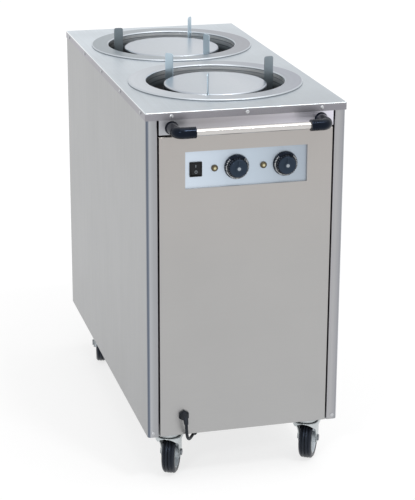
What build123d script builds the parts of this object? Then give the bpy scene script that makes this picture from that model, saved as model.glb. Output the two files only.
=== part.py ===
from build123d import *

import os
from math import cos, pi, radians, sin, tan

os.makedirs("parts", exist_ok=True)

# Heated two-well plate dispenser cart, millimetres. +Z up, the control panel faces -Y, X runs
# across the front. The origin is on the floor under the middle of the cart and its handle.

# ---------------------------------------------------------------- driving dimensions

CAB_W = 450.0             # across the front
CAB_D = 930.0             # front to rear
CAB_H = 750.0             # underside to deck top
CASTER_H = 125.0          # floor to underside

DECK_T = 1.5              # deck sheet
LIP_H = 17.0              # deck edge turned down
SKIN_T = 1.2              # wall sheet
PAN_T = 2.0               # base sheet
FOLD = 15.0               # depth of the folded edges of the front pieces
POST_W = 26.7             # corner post seen from the front
POST_RETURN = 12.0
REAR_RETURN = 24.0
CORNER_R = 8.0            # front corner bend
SEAM = 3.2                # open joint between posts, header and panel
HEADER_H = 35.5           # header below the lip
PAN_H = 25.0

WELL_FIRST = 267.0        # front face to the front well's axis
WELL_PITCH = 422.0
RING_R = 200.0            # outer edge of the raised ring
RING_H = 4.5
RING_T = 1.5
RING_BEND = 4.0
COLLAR_R = 158.5          # inside of the collar
COLLAR_H = 30.0           # collar below the deck
LINER_GAP = 2.0           # collar to liner
LINER_T = 1.2
LINER_RISE = 70.0         # liner floor above the underside
LINER_FLANGE = 14.0
LINER_FLOOR_R = 115.0     # hole in the liner's foot flange
SLOT_W = 14.0

PLATE_R = 118.0           # platform
PLATE_T = 1.5
PLATE_SKIRT = 12.0
PLATE_DROP = 3.5          # platform top below the deck
TRAVEL_MARGIN = 280.0     # liner length that the travel leaves
CARRIER_DROP = 231.0      # carrier arms below the platform
CARRIER_T = 4.0
ARM_W = 10.0
ARM_REACH = 182.0
CARRIER_TUBE_R = 25.0
CARRIER_HEAD_R = 60.0
SPRING_R = 7.0
SPRING_WIRE = 1.6
SPRING_AT = 174.0         # spring axis from the well axis
LUG_DROP = 22.0
LUG_T = 3.0

GUIDE_W = 22.0            # guide strip, set on edge towards the well axis
GUIDE_T = 2.0
GUIDE_CLEAR = 5.0         # guide to platform edge
GUIDE_RISE = 47.0         # guide above the deck
GUIDE_TIP_R = 5.0
GUIDE_TURN = {"front": 8.0, "back": 56.0}   # first guide, degrees from +X
BRACKET_T = 2.0
BRACKET_H = 20.0
BRACKET_DROP = 52.0       # bracket bolts below the deck
BRACKET_TAB = 20.0
BOLT_R = 2.5
BOLT_HEAD_R = 4.5
BOLT_HEAD_T = 3.5

PANEL_W = 275.0           # control cut-out
PANEL_H = 83.0
PANEL_DROP = 131.5        # its middle below the deck
PANEL_SINK = 5.0          # control plate behind the panel face
PANEL_LAP = 8.0
PANEL_T = 2.0
CONTROL_DROP = 130.8      # one line for all controls, below the deck
SWITCH_X = -113.0
LAMP_X = (-71.0, 39.0)
KNOB_X = (-21.5, 88.5)
SWITCH_W = 28.0
SWITCH_H = 33.0
SWITCH_BEZEL = 2.0
SWITCH_WALL = 2.5
SWITCH_DEPTH = 24.0
ROCKER_CLEAR = 0.6
ROCKER_TILT = 10.0
LAMP_R = 7.5
LAMP_LENS_R = 5.5
LAMP_DEPTH = 22.0
KNOB_R = 28.0
KNOB_SKIRT = 5.0
KNOB_DRUM_R = 21.0
KNOB_H = 22.0
KNOB_CAP_R = 7.5
KNOB_MARK_W = 3.0
KNOB_FLUTES = 24
KNOB_FLUTE_R = 1.2
KNOB_GAP = 1.2
SPINDLE_R = 3.0
SPINDLE_OUT = 18.0
THERMO_W = 36.0
THERMO_D = 22.0
RUNNING = 0.05            # radial running clearance

HANDLE_IN = 58.0          # elbow axis from the side
HANDLE_REACH = 48.0       # tube axis in front of the cabinet
HANDLE_TUBE_R = 8.0
HANDLE_TUBE_T = 1.5
ELBOW_R = 12.5
ELBOW_BEND = 14.0
ELBOW_SOCKET = 26.0
ELBOW_RING_W = 1.6        # grooves round the socket
ELBOW_RING_PITCH = 4.5
ELBOW_RING_DEPTH = 1.0
ELBOW_FOOT_R = 15.0
ELBOW_FOOT_T = 5.0
HANDLE_SCREW_R = 3.0
HANDLE_SCREW_IN = 16.0

WHEEL_R = 50.0
TREAD_W = 30.0
TREAD_T = 12.0
RIB_DEPTH = 1.6
HUB_WEB = 10.0
HUB_BOSS_R = 13.0
AXLE_R = 5.0
TRAIL = 34.0              # wheel axle behind the swivel axis
FORK_T = 2.5
FORK_GAP = 0.5            # hub end to fork leg
LEG_X = 22.0              # outside of the legs from the wheel plane
CROWN_X = 30.0            # half width of the crown
HOOD_H = 24.0             # rounded front of the crown, down to its lower edge
HOOD_ARCH_R = 26.0        # arch in that edge, over the tread
CROWN_SINK = 15.0         # crown top below the underside
CROWN_BAND = 12.0
SHOULDER = 24.0           # crown top down to the straight legs
LEG_EYE_R = 13.0
CASTER_IN = 60.0          # swivel axis from the side
CASTER_FRONT = 48.0       # front face to the front swivel axes
CASTER_REAR_IN = 105.0    # rear face to the rear swivel axes
CASTER_TURN = {"fl": -24.5, "fr": -29.0, "bl": 170.0, "br": 195.0}
MOUNT_X = 95.0            # caster top plate
MOUNT_Y = 66.0
MOUNT_T = 3.0
MOUNT_CORNER = 8.0
MOUNT_NUT_T = 5.0
MOUNT_BOLT_X = 75.0
MOUNT_BOLT_Y = 44.0
MOUNT_BOLT_R = 4.0
RACE_R = 26.0
RACE_GAP = 0.3
KING_R = 6.0
KING_HEAD_R = 9.0
KING_HEAD_T = 3.5

CORD_R = 3.5
GLAND_X = -141.0
GLAND_Z = 48.0            # above the underside
GLAND_HEX_R = 12.5
GLAND_HEX_T = 5.0
GLAND_DOME_R = 9.5
GLAND_DOME_L = 5.0
GLAND_THREAD_R = 9.8
BOOT_R = (7.2, 5.8, 4.8)
BOOT_BEND = 80.0          # the boot droops by this many degrees
BOOT_BEND_R = 15.0
CLIP_W = 8.0              # cord clip under the base
CLIP_BORE_R = CORD_R + 0.4
CLIP_R = 6.5
CLIP_FOOT = 26.0
CLIP_SCREW_R = 2.0
CLIP_SCREW_OUT = 9.0      # its screw beside the cord
COIL_CENTRE = (-26.0, 440.0)   # from the middle and the front face
COIL_R = 48.0             # largest turn, at the cord's axis
COIL_STEP = 8.4           # from turn to turn and from layer to layer
COIL_HALF_TURNS = 5       # in each layer
COIL_TAIL = 45.0
PLUG_L = 44.0
PLUG_PIN_L = 17.0

HEATER_R = 105.0
HEATER_TUBE_R = 4.0
HEATER_RISE = 40.0        # above the base sheet
HEATER_GAP = 24.0         # half the distance between the two legs

SCREW_R = 2.0
SCREW_HEAD_R = 4.2
SCREW_FLANGE_T = 1.2
SCREW_DOME_T = 1.0
SCREW_IN = 7.0
SIDE_SCREWS = 5
SIDE_SCREW_FIRST = 46.0
FRONT_SCREW_IN = 57.0
FOOT_SCREW_Z = 10.0       # above the underside
VENT_W = 70.0
VENT_H = 5.0
VENT_PITCH = 22.0
VENT_ROWS = 6

# ---------------------------------------------------------------- derived places

HANDLE_OUT = HANDLE_REACH + ELBOW_R
REAR_OUT = SCREW_FLANGE_T + SCREW_DOME_T  # screw heads behind the cabinet
FRONT = (HANDLE_OUT - REAR_OUT - CAB_D) / 2   # front plane of the deck lip
REAR = FRONT + CAB_D
BASE = CASTER_H
DECK = BASE + CAB_H
UNDER_DECK = DECK - DECK_T
SKIN_FRONT = FRONT + DECK_T
SKIN_REAR = REAR - DECK_T
SKIN_X = CAB_W / 2 - DECK_T
HANDLE_X = CAB_W / 2 - HANDLE_IN
CASTER_X = CAB_W / 2 - CASTER_IN
FRONT_SCREW_X = CAB_W / 2 - FRONT_SCREW_IN
SIDE_SCREW_PITCH = (CAB_D - 2 * SIDE_SCREW_FIRST) / (SIDE_SCREWS - 1)
POST_X = CAB_W / 2 - POST_W
SEAM_Z = DECK - LIP_H - HEADER_H
FRONT_X = POST_X - SEAM                   # half width of header and front panel
WELLS = {"front": FRONT + WELL_FIRST, "back": FRONT + WELL_FIRST + WELL_PITCH}

LINER_R = COLLAR_R + RING_T + LINER_GAP
LINER_FLOOR = BASE + LINER_RISE
TRAVEL = UNDER_DECK - LINER_FLOOR - TRAVEL_MARGIN
ARM_ANGLES = [60.0, 180.0, 300.0]         # from the first guide
PLATE_TOP = DECK - PLATE_DROP
CARRIER_TOP = PLATE_TOP - PLATE_T
ARM_TOP = PLATE_TOP - CARRIER_DROP
GUIDE_IN = PLATE_R + GUIDE_CLEAR
GUIDE_MID = GUIDE_IN + GUIDE_W / 2
BRACKET_Z = DECK - BRACKET_DROP

PLATE_FACE = SKIN_FRONT + PANEL_SINK
CONTROL = DECK - CONTROL_DROP
PANEL_Z = DECK - PANEL_DROP
HANDLE_Z = SEAM_Z + HEADER_H / 2
HANDLE_Y = FRONT - HANDLE_REACH
ELBOW_END = HANDLE_X - ELBOW_BEND - ELBOW_SOCKET

CROWN_TOP = BASE - CROWN_SINK
AXLE_Z = WHEEL_R
TYRE_IN = WHEEL_R - TREAD_T
CASTERS = {
    "fl": (-CASTER_X, FRONT + CASTER_FRONT),
    "fr": (CASTER_X, FRONT + CASTER_FRONT),
    "bl": (-CASTER_X, REAR - CASTER_REAR_IN),
    "br": (CASTER_X, REAR - CASTER_REAR_IN),
}


def well_plane(side, turn=0.0, z=0.0):
    """A plane at a well's axis: its X points out of the axis at the given angle."""
    angle = GUIDE_TURN[side] + turn
    return Plane(origin=(0, WELLS[side], z), x_dir=(cos(radians(angle)), sin(radians(angle)), 0))


def upright(plane):
    """The plane's X and the vertical, for a section through the same axis."""
    return Plane(origin=plane.origin, x_dir=plane.x_dir, z_dir=-plane.y_dir)


def facing(x, y, z, direction):
    """A plane whose normal is the given direction, for holes and screws."""
    across = (0, 0, 1) if abs(direction[2]) < 0.5 else (1, 0, 0)
    return Plane(origin=(x, y, z), x_dir=across, z_dir=direction)


LIP_SCREW_Z = DECK - LIP_H / 2
LIP_SCREWS = (
    [facing(x, FRONT, LIP_SCREW_Z, (0, -1, 0)) for x in (-FRONT_SCREW_X, 0, FRONT_SCREW_X)]
    + [facing(x, REAR, LIP_SCREW_Z, (0, 1, 0)) for x in (-FRONT_SCREW_X, 0, FRONT_SCREW_X)]
    + [
        facing(side * CAB_W / 2, FRONT + SIDE_SCREW_FIRST + k * SIDE_SCREW_PITCH, LIP_SCREW_Z, (side, 0, 0))
        for side in (-1, 1)
        for k in range(SIDE_SCREWS)
    ]
)
FOOT_SCREWS = [facing(side * (POST_X + POST_W / 2), SKIN_FRONT, BASE + FOOT_SCREW_Z, (0, -1, 0)) for side in (-1, 1)]
REAR_SCREWS = [
    facing(side * (SKIN_X - REAR_RETURN / 2), SKIN_REAR, BASE + CAB_H * share, (0, 1, 0))
    for side in (-1, 1)
    for share in (0.06, 0.35, 0.65, 0.94)
]


GLAND = BASE + GLAND_Z
BOOT_START = SKIN_FRONT - GLAND_HEX_T - GLAND_DOME_L


def boot_plane(angle):
    """The section of the boot after it has bent down by this many degrees."""
    turn = radians(angle)
    y = BOOT_START - BOOT_BEND_R * sin(turn)
    z = GLAND - BOOT_BEND_R * (1 - cos(turn))
    return Plane(origin=(GLAND_X, y, z), x_dir=(1, 0, 0), z_dir=(0, -cos(turn), -sin(turn)))


# The cord's free stretch, from the middle, the front face and the floor: out of the boot, back
# under the front edge above the caster, through two clips under the base with a little slack
# between them, and down to the coil on the floor.
EXIT = boot_plane(BOOT_BEND)
COIL_Z = CORD_R
COIL_X = COIL_CENTRE[0] + COIL_R
CLIP_Z = BASE - 10.6
CLIP_POINTS = [
    ((-113.1, 22.5, CLIP_Z), (-102.1, 41.6, CLIP_Z)),
    ((-62.5, 150.0, CLIP_Z), (-59.0, 172.0, CLIP_Z)),
]
CORD_POINTS = [
    (GLAND_X, EXIT.origin.Y - FRONT, EXIT.origin.Z),
    (-141, -25.8, 146.3),
    (-139.1, -22.5, 132),
    (-134.3, -14.2, 120.7),
    (-127.6, -2.6, CLIP_Z),
    *CLIP_POINTS[0],
    (-91, 61, 112),
    (-80, 85, 106.5),
    (-72, 110, 106),
    (-66, 132, 110.5),
    *CLIP_POINTS[1],
    (-56, 190, 112),
    (-52, 208, 103.5),
    (-47.5, 223, 89.5),
    (-42.5, 237.5, 71),
    (-36.5, 253, 50),
    (-29.5, 270, 31),
    (-21, 290, 15.5),
    (-11.5, 313, 6),
    (-2, 338, COIL_Z),
    (9, 362, COIL_Z),
    (18, 386, COIL_Z),
    (COIL_X, 410, COIL_Z),
    (COIL_X, COIL_CENTRE[1] - 2 * CORD_R, COIL_Z),
]
CORD_ROUTE = [Vector(x, FRONT + y, z) for x, y, z in CORD_POINTS]
CLIPS = []
CLIP_SCREWS = []
for before, after in CLIP_POINTS:
    along = (Vector(*after) - Vector(*before)).normalized()
    middle = (Vector(*before) + Vector(*after)) * 0.5 + Vector(0, FRONT, 0)
    across = Vector(0, 0, 1).cross(along)
    CLIPS.append(Plane(origin=middle, x_dir=across, z_dir=along))
    under = Vector(middle.X, middle.Y, BASE - PAN_T) - across * CLIP_SCREW_OUT
    CLIP_SCREWS.append(Plane(origin=under, x_dir=along, z_dir=(0, 0, -1)))

HANDLE_SCREWS = [facing(side * HANDLE_X, SKIN_FRONT + SKIN_T, HANDLE_Z, (0, 1, 0)) for side in (-1, 1)]

# ---------------------------------------------------------------- cabinet

# The wall sheets: each wraps from the front post round the side to a rear return.
for name, side in (("left", -1), ("right", 1)):
    with BuildPart() as side_panel:
        with BuildSketch(Plane.XY.offset(BASE)):
            with BuildLine():
                FilletPolyline(
                    (side * POST_X, SKIN_FRONT + POST_RETURN),
                    (side * POST_X, SKIN_FRONT),
                    (side * SKIN_X, SKIN_FRONT),
                    (side * SKIN_X, SKIN_REAR),
                    (side * (SKIN_X - REAR_RETURN), SKIN_REAR),
                    radius=(2 * SKIN_T, CORNER_R, 2 * SKIN_T),
                )
                offset(amount=SKIN_T, side=Side.RIGHT if side < 0 else Side.LEFT)
            make_face()
        extrude(amount=CAB_H - DECK_T)
        with Locations(*LIP_SCREWS, *FOOT_SCREWS, *REAR_SCREWS):
            Cylinder(SCREW_R + RUNNING, 2 * SCREW_IN, mode=Mode.SUBTRACT)
    side_panel.part.label = f"side_panel_{name}"
    export_step(side_panel.part, f"parts/side_panel_{name}.step")

# Header channel behind the handle.
with BuildPart() as front_header:
    with BuildSketch(Plane.YZ):
        with BuildLine():
            FilletPolyline(
                (SKIN_FRONT + FOLD, SEAM_Z + SEAM / 2),
                (SKIN_FRONT, SEAM_Z + SEAM / 2),
                (SKIN_FRONT, UNDER_DECK),
                (SKIN_FRONT + FOLD, UNDER_DECK),
                radius=2 * SKIN_T,
            )
            offset(amount=SKIN_T, side=Side.RIGHT)
        make_face()
    extrude(amount=FRONT_X, both=True)
    with Locations(*LIP_SCREWS):
        Cylinder(SCREW_R + RUNNING, 2 * SCREW_IN, mode=Mode.SUBTRACT)
    with Locations(*HANDLE_SCREWS):
        Cylinder(HANDLE_SCREW_R + RUNNING, FOLD, mode=Mode.SUBTRACT)
front_header.part.label = "front_header"
export_step(front_header.part, "parts/front_header.step")

# Front panel: a shallow tray with a framed control cut-out and the cord hole.
FRONT_PANEL_H = SEAM_Z - SEAM / 2 - BASE
with BuildPart() as front_panel:
    with BuildSketch(Plane.XZ.offset(-SKIN_FRONT)):
        with Locations((0, BASE + FRONT_PANEL_H / 2)):
            Rectangle(2 * FRONT_X, FRONT_PANEL_H)
    extrude(amount=-FOLD)
    fillet(front_panel.faces().sort_by(Axis.Y)[0].edges(), radius=1.5 * SKIN_T)
    offset(amount=-SKIN_T, openings=front_panel.faces().sort_by(Axis.Y)[-1])
    with BuildSketch(Plane.XZ.offset(-SKIN_FRONT)):
        with Locations((0, PANEL_Z)):
            RectangleRounded(PANEL_W + 2 * SKIN_T, PANEL_H + 2 * SKIN_T, 2 * SKIN_T)
    extrude(amount=-PANEL_SINK)
    with BuildSketch(Plane.XZ.offset(-SKIN_FRONT)):
        with Locations((0, PANEL_Z)):
            RectangleRounded(PANEL_W, PANEL_H, SKIN_T)
    extrude(amount=-PANEL_SINK, mode=Mode.SUBTRACT)
    with Locations(facing(GLAND_X, SKIN_FRONT, BASE + GLAND_Z, (0, -1, 0))):
        Cylinder(GLAND_THREAD_R + RUNNING, FOLD, mode=Mode.SUBTRACT)
front_panel.part.label = "front_panel"
export_step(front_panel.part, "parts/front_panel.step")

# Rear panel: closes the back between the returns, with two fields of vent slots.
with BuildPart() as rear_panel:
    rear_h = CAB_H - DECK_T - 1
    with BuildSketch(Plane.XZ.offset(SKIN_T - SKIN_REAR)):
        with Locations((0, BASE + rear_h / 2)):
            Rectangle(2 * (SKIN_X - 3 * SKIN_T), rear_h)
        with Locations((0, BASE + rear_h * 0.2), (0, BASE + rear_h * 0.8)):
            with GridLocations(1.5 * VENT_W, VENT_PITCH, 2, VENT_ROWS):
                SlotOverall(VENT_W, VENT_H, mode=Mode.SUBTRACT)
    extrude(amount=SKIN_T)
    with Locations(*LIP_SCREWS, *REAR_SCREWS):
        Cylinder(SCREW_R + RUNNING, 2 * SCREW_IN, mode=Mode.SUBTRACT)
rear_panel.part.label = "rear_panel"
export_step(rear_panel.part, "parts/rear_panel.step")

# Base pan with the caster bolt holes.
PAN_FRONT = SKIN_FRONT + FOLD
PAN_REAR = SKIN_REAR - 2 * SKIN_T
with BuildPart() as base_pan:
    with BuildSketch(Plane.XY.offset(BASE)):
        with Locations((0, (PAN_FRONT + PAN_REAR) / 2)):
            Rectangle(2 * (SKIN_X - SKIN_T), PAN_REAR - PAN_FRONT)
    extrude(amount=PAN_H)
    offset(amount=-PAN_T, openings=base_pan.faces().sort_by(Axis.Z)[-1])
    with Locations(*[(x, y, BASE) for x, y in CASTERS.values()]):
        with GridLocations(MOUNT_BOLT_X, MOUNT_BOLT_Y, 2, 2):
            Cylinder(MOUNT_BOLT_R + RUNNING, 3 * PAN_T, mode=Mode.SUBTRACT)
    with Locations(*CLIP_SCREWS):
        Cylinder(CLIP_SCREW_R + RUNNING, 6 * PAN_T, mode=Mode.SUBTRACT)
base_pan.part.label = "base_pan"
export_step(base_pan.part, "parts/base_pan.step")

# Deck: a tray turned upside down, its lip outside the walls.
with BuildPart() as top_deck:
    with BuildSketch(Plane.XY.offset(DECK)):
        with Locations((0, (FRONT + REAR) / 2)):
            RectangleRounded(CAB_W, CAB_D, 2 * DECK_T)
    extrude(amount=-LIP_H)
    fillet(top_deck.faces().sort_by(Axis.Z)[-1].edges(), radius=1.2 * DECK_T)
    with BuildSketch(Plane.XY.offset(UNDER_DECK)):
        with Locations((0, (FRONT + REAR) / 2)):
            RectangleRounded(CAB_W - 2 * DECK_T, CAB_D - 2 * DECK_T, DECK_T)
    extrude(amount=-LIP_H, mode=Mode.SUBTRACT)
    with Locations(*[(0, y, DECK) for y in WELLS.values()]):
        Cylinder(LINER_R + 2 * LINER_T, 4 * DECK_T, mode=Mode.SUBTRACT)
    with Locations(*LIP_SCREWS):
        Cylinder(SCREW_R + RUNNING, 2 * SCREW_IN, mode=Mode.SUBTRACT)
top_deck.part.label = "top_deck"
export_step(top_deck.part, "parts/top_deck.step")

# Sheet screws with a domed head outside, and the handle's screws from inside.
with BuildPart() as cabinet_screws:
    with Locations(*LIP_SCREWS, *FOOT_SCREWS, *REAR_SCREWS):
        Cylinder(SCREW_HEAD_R, SCREW_FLANGE_T, align=(Align.CENTER, Align.CENTER, Align.MIN))
        Cylinder(SCREW_R, SCREW_IN, align=(Align.CENTER, Align.CENTER, Align.MAX))
    with Locations(*[p.offset(SCREW_FLANGE_T) for p in LIP_SCREWS + FOOT_SCREWS + REAR_SCREWS]):
        Cone(SCREW_HEAD_R, SCREW_HEAD_R * 0.6, SCREW_DOME_T, align=(Align.CENTER, Align.CENTER, Align.MIN))
    with Locations(*HANDLE_SCREWS):
        Cylinder(1.7 * HANDLE_SCREW_R, 4, align=(Align.CENTER, Align.CENTER, Align.MIN))
        Cylinder(HANDLE_SCREW_R, HANDLE_SCREW_IN, align=(Align.CENTER, Align.CENTER, Align.MAX))
cabinet_screws.part.label = "cabinet_screws"
export_step(cabinet_screws.part, "parts/cabinet_screws.step")

# ---------------------------------------------------------------- wells

for side, y in WELLS.items():
    axis = Axis((0, y, 0), (0, 0, 1))

    # Raised ring: one spun sheet, from its foot on the deck over the flat to the hanging collar.
    with BuildPart() as ring:
        with BuildSketch(Plane.XZ.offset(-y)):
            with BuildLine():
                FilletPolyline(
                    (RING_R, DECK),
                    (RING_R, DECK + RING_H),
                    (COLLAR_R, DECK + RING_H),
                    (COLLAR_R, DECK - COLLAR_H),
                    radius=RING_BEND,
                )
                offset(amount=RING_T, side=Side.LEFT)
            make_face()
        revolve(axis=axis)
    ring.part.label = f"ring_{side}"
    export_step(ring.part, f"parts/ring_{side}.step")

    # Liner: flange under the deck, slotted wall with spring lugs, foot flange for the guides.
    with BuildPart() as well:
        with BuildSketch(Plane.XZ.offset(-y)):
            with BuildLine():
                FilletPolyline(
                    (LINER_R + LINER_FLANGE, UNDER_DECK),
                    (LINER_R, UNDER_DECK),
                    (LINER_R, LINER_FLOOR),
                    (LINER_FLOOR_R, LINER_FLOOR),
                    radius=2 * LINER_T,
                )
                offset(amount=LINER_T, side=Side.LEFT)
            make_face()
        revolve(axis=axis)
        slot_top = ARM_TOP + ARM_W
        slot_h = TRAVEL + 2 * ARM_W + CARRIER_T
        with Locations(*[well_plane(side, turn, slot_top) for turn in ARM_ANGLES]):
            with Locations((LINER_R, 0, 0)):
                Box(
                    4 * LINER_FLANGE,
                    SLOT_W,
                    slot_h,
                    align=(Align.CENTER, Align.CENTER, Align.MAX),
                    mode=Mode.SUBTRACT,
                )
        with Locations(*[well_plane(side, turn, UNDER_DECK - LUG_DROP) for turn in ARM_ANGLES]):
            with Locations((LINER_R + LINER_T / 2, 0, 0)):
                Box(
                    ARM_REACH - LINER_R - LINER_T / 2,
                    SLOT_W,
                    LUG_T,
                    align=(Align.MIN, Align.CENTER, Align.MIN),
                )
        for turn in (0, 120, 240):
            with Locations(well_plane(side, turn, BRACKET_Z)):
                with Locations(Location((LINER_R, BRACKET_TAB * 0.6, 0), (0, 90, 0))):
                    Cylinder(BOLT_R + RUNNING, 6 * LINER_T, mode=Mode.SUBTRACT)
    well.part.label = f"well_{side}"
    export_step(well.part, f"parts/well_{side}.step")

    # Platform: a spun disc with a turned-down skirt.
    with BuildPart() as platform:
        with BuildSketch(Plane.XZ.offset(-y)):
            with BuildLine():
                FilletPolyline(
                    (0, PLATE_TOP),
                    (PLATE_R, PLATE_TOP),
                    (PLATE_R, PLATE_TOP - PLATE_SKIRT),
                    radius=RING_BEND,
                )
                offset(amount=PLATE_T, side=Side.RIGHT)
            make_face()
        revolve(axis=axis)
    platform.part.label = f"platform_{side}"
    export_step(platform.part, f"parts/platform_{side}.step")

    # Carrier: head disc, tube and three arms that reach through the liner's slots.
    with BuildPart() as carrier:
        with BuildSketch(Plane.XZ.offset(-y)):
            with BuildLine():
                Polyline(
                    (CARRIER_HEAD_R, CARRIER_TOP),
                    (CARRIER_TUBE_R, CARRIER_TOP),
                    (CARRIER_TUBE_R, ARM_TOP),
                )
                offset(amount=PLATE_T, side=Side.LEFT)
            make_face()
        revolve(axis=axis)
        with BuildSketch(well_plane(side, 0, ARM_TOP)):
            Circle(CARRIER_TUBE_R + 2 * PLATE_T)
            with PolarLocations(0, len(ARM_ANGLES), start_angle=ARM_ANGLES[0]):
                with Locations((ARM_REACH / 2, 0)):
                    Rectangle(ARM_REACH, ARM_W)
        extrude(amount=-CARRIER_T)
    carrier.part.label = f"carrier_{side}"
    export_step(carrier.part, f"parts/carrier_{side}.step")

    # Extension springs, close-wound at rest, one for each arm.
    with BuildPart() as springs:
        lug_under = UNDER_DECK - LUG_DROP
        for turn in ARM_ANGLES:
            with BuildSketch(well_plane(side, turn, ARM_TOP)):
                with Locations((SPRING_AT, 0)):
                    Circle(SPRING_R)
                    Circle(SPRING_R - SPRING_WIRE, mode=Mode.SUBTRACT)
            extrude(amount=lug_under - ARM_TOP)
    springs.part.label = f"springs_{side}"
    export_step(springs.part, f"parts/springs_{side}.step")

    # Guide strips on edge, from the liner's foot to above the deck.
    with BuildPart() as guides:
        for turn in (0, 120, 240):
            with BuildSketch(upright(well_plane(side, turn))):
                with Locations((GUIDE_MID, (DECK + GUIDE_RISE + LINER_FLOOR) / 2)):
                    Rectangle(GUIDE_W, DECK + GUIDE_RISE - LINER_FLOOR)
            extrude(amount=GUIDE_T / 2, both=True)
        tips = guides.faces().sort_by(Axis.Z)[-3:].edges()
        fillet([e for e in tips if e.length < 1.5 * GUIDE_T], radius=GUIDE_TIP_R)
        for turn in (0, 120, 240):
            with Locations(upright(well_plane(side, turn))):
                with Locations((GUIDE_MID, BRACKET_Z, 0)):
                    Cylinder(BOLT_R + RUNNING, 4 * GUIDE_T, mode=Mode.SUBTRACT)
    guides.part.label = f"plate_guides_{side}"
    export_step(guides.part, f"parts/plate_guides_{side}.step")

# Guide brackets: a leg along the strip and a tab against the liner.
BRACKET_END = LINER_R - 2 * BRACKET_T
with BuildPart() as guide_brackets:
    for side in WELLS:
        for turn in (0, 120, 240):
            plane = well_plane(side, turn, BRACKET_Z - BRACKET_H / 2)
            with BuildSketch(plane):
                with BuildLine():
                    FilletPolyline(
                        (GUIDE_IN + BRACKET_T, GUIDE_T / 2),
                        (BRACKET_END + BRACKET_T, GUIDE_T / 2),
                        (BRACKET_END + BRACKET_T, GUIDE_T / 2 + BRACKET_TAB),
                        radius=2 * BRACKET_T,
                    )
                    offset(amount=BRACKET_T, side=Side.LEFT)
                make_face()
            extrude(amount=BRACKET_H)
            with Locations(upright(well_plane(side, turn))):
                with Locations((GUIDE_MID, BRACKET_Z, 0)):
                    Cylinder(BOLT_R + RUNNING, 4 * BRACKET_T, mode=Mode.SUBTRACT)
            with Locations(well_plane(side, turn, BRACKET_Z)):
                with Locations(Location((LINER_R, BRACKET_TAB * 0.6, 0), (0, 90, 0))):
                    Cylinder(BOLT_R + RUNNING, 6 * BRACKET_T, mode=Mode.SUBTRACT)
guide_brackets.part.label = "guide_brackets"
export_step(guide_brackets.part, "parts/guide_brackets.step")

# Bolts with their nuts: one pinches strip and bracket, one holds the tab to the liner.
with BuildPart() as guide_bolts:
    for side in WELLS:
        for turn in (0, 120, 240):
            with Locations(upright(well_plane(side, turn))):
                with Locations((GUIDE_MID, BRACKET_Z, GUIDE_T / 2)):
                    Cylinder(BOLT_HEAD_R, BOLT_HEAD_T, align=(Align.CENTER, Align.CENTER, Align.MIN))
                    Cylinder(
                        BOLT_R,
                        GUIDE_T + BRACKET_T + BOLT_HEAD_T,
                        align=(Align.CENTER, Align.CENTER, Align.MAX),
                    )
                with Locations((GUIDE_MID, BRACKET_Z, -GUIDE_T / 2 - BRACKET_T)):
                    Cylinder(BOLT_HEAD_R, BOLT_HEAD_T, align=(Align.CENTER, Align.CENTER, Align.MAX))
            bolt_y = BRACKET_TAB * 0.6
            wall_out = LINER_R + LINER_T
            with Locations(well_plane(side, turn, BRACKET_Z)):
                with Locations(Location((wall_out, bolt_y, 0), (0, 90, 0))):
                    Cylinder(BOLT_HEAD_R, BOLT_HEAD_T, align=(Align.CENTER, Align.CENTER, Align.MIN))
                with Locations(Location((wall_out + BOLT_R, bolt_y, 0), (0, 90, 0))):
                    Cylinder(
                        BOLT_R,
                        wall_out + BOLT_R - BRACKET_END + BOLT_HEAD_T,
                        align=(Align.CENTER, Align.CENTER, Align.MAX),
                    )
                with Locations(Location((BRACKET_END, bolt_y, 0), (0, 90, 0))):
                    Cylinder(BOLT_HEAD_R, BOLT_HEAD_T, align=(Align.CENTER, Align.CENTER, Align.MAX))
guide_bolts.part.label = "guide_bolts"
export_step(guide_bolts.part, "parts/guide_bolts.step")

# Heating elements: a tubular ring under each well on two legs and a foot plate.
HEATER_Z = BASE + PAN_T + HEATER_RISE
with BuildPart() as heating_elements:
    for y in WELLS.values():
        legs_y = y + (HEATER_R**2 - HEATER_GAP**2) ** 0.5
        with Locations((0, y, HEATER_Z)):
            Torus(HEATER_R, HEATER_TUBE_R)
        with Locations((-HEATER_GAP, legs_y, HEATER_Z), (HEATER_GAP, legs_y, HEATER_Z)):
            Cylinder(HEATER_TUBE_R * 0.9, HEATER_RISE, align=(Align.CENTER, Align.CENTER, Align.MAX))
        with Locations((0, legs_y, BASE + PAN_T)):
            Box(4 * HEATER_GAP, 6 * HEATER_TUBE_R, PAN_T, align=(Align.CENTER, Align.CENTER, Align.MIN))
heating_elements.part.label = "heating_elements"
export_step(heating_elements.part, "parts/heating_elements.step")

# ---------------------------------------------------------------- controls

# Control plate behind the framed cut-out.
PLATE_BACK = PLATE_FACE + PANEL_T
ROCKER_W = SWITCH_W - 2 * SWITCH_WALL - 2 * ROCKER_CLEAR
ROCKER_H = SWITCH_H - 2 * SWITCH_WALL - 2 * ROCKER_CLEAR
SWITCH_BODY_W = SWITCH_W - 2 * SWITCH_BEZEL
SWITCH_BODY_H = SWITCH_H - 2 * SWITCH_BEZEL
with BuildPart() as control_plate:
    with BuildSketch(Plane.XZ.offset(-PLATE_FACE)):
        with Locations((0, PANEL_Z)):
            Rectangle(PANEL_W + 2 * PANEL_LAP, PANEL_H + 2 * PANEL_LAP)
        with Locations((SWITCH_X, CONTROL)):
            Rectangle(SWITCH_BODY_W, SWITCH_BODY_H, mode=Mode.SUBTRACT)
        with Locations(*[(x, CONTROL) for x in LAMP_X]):
            Circle(LAMP_R - 1, mode=Mode.SUBTRACT)
        with Locations(*[(x, CONTROL) for x in KNOB_X]):
            Circle(SPINDLE_R + 2, mode=Mode.SUBTRACT)
    extrude(amount=-PANEL_T)
control_plate.part.label = "control_plate"
export_step(control_plate.part, "parts/control_plate.step")

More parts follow.
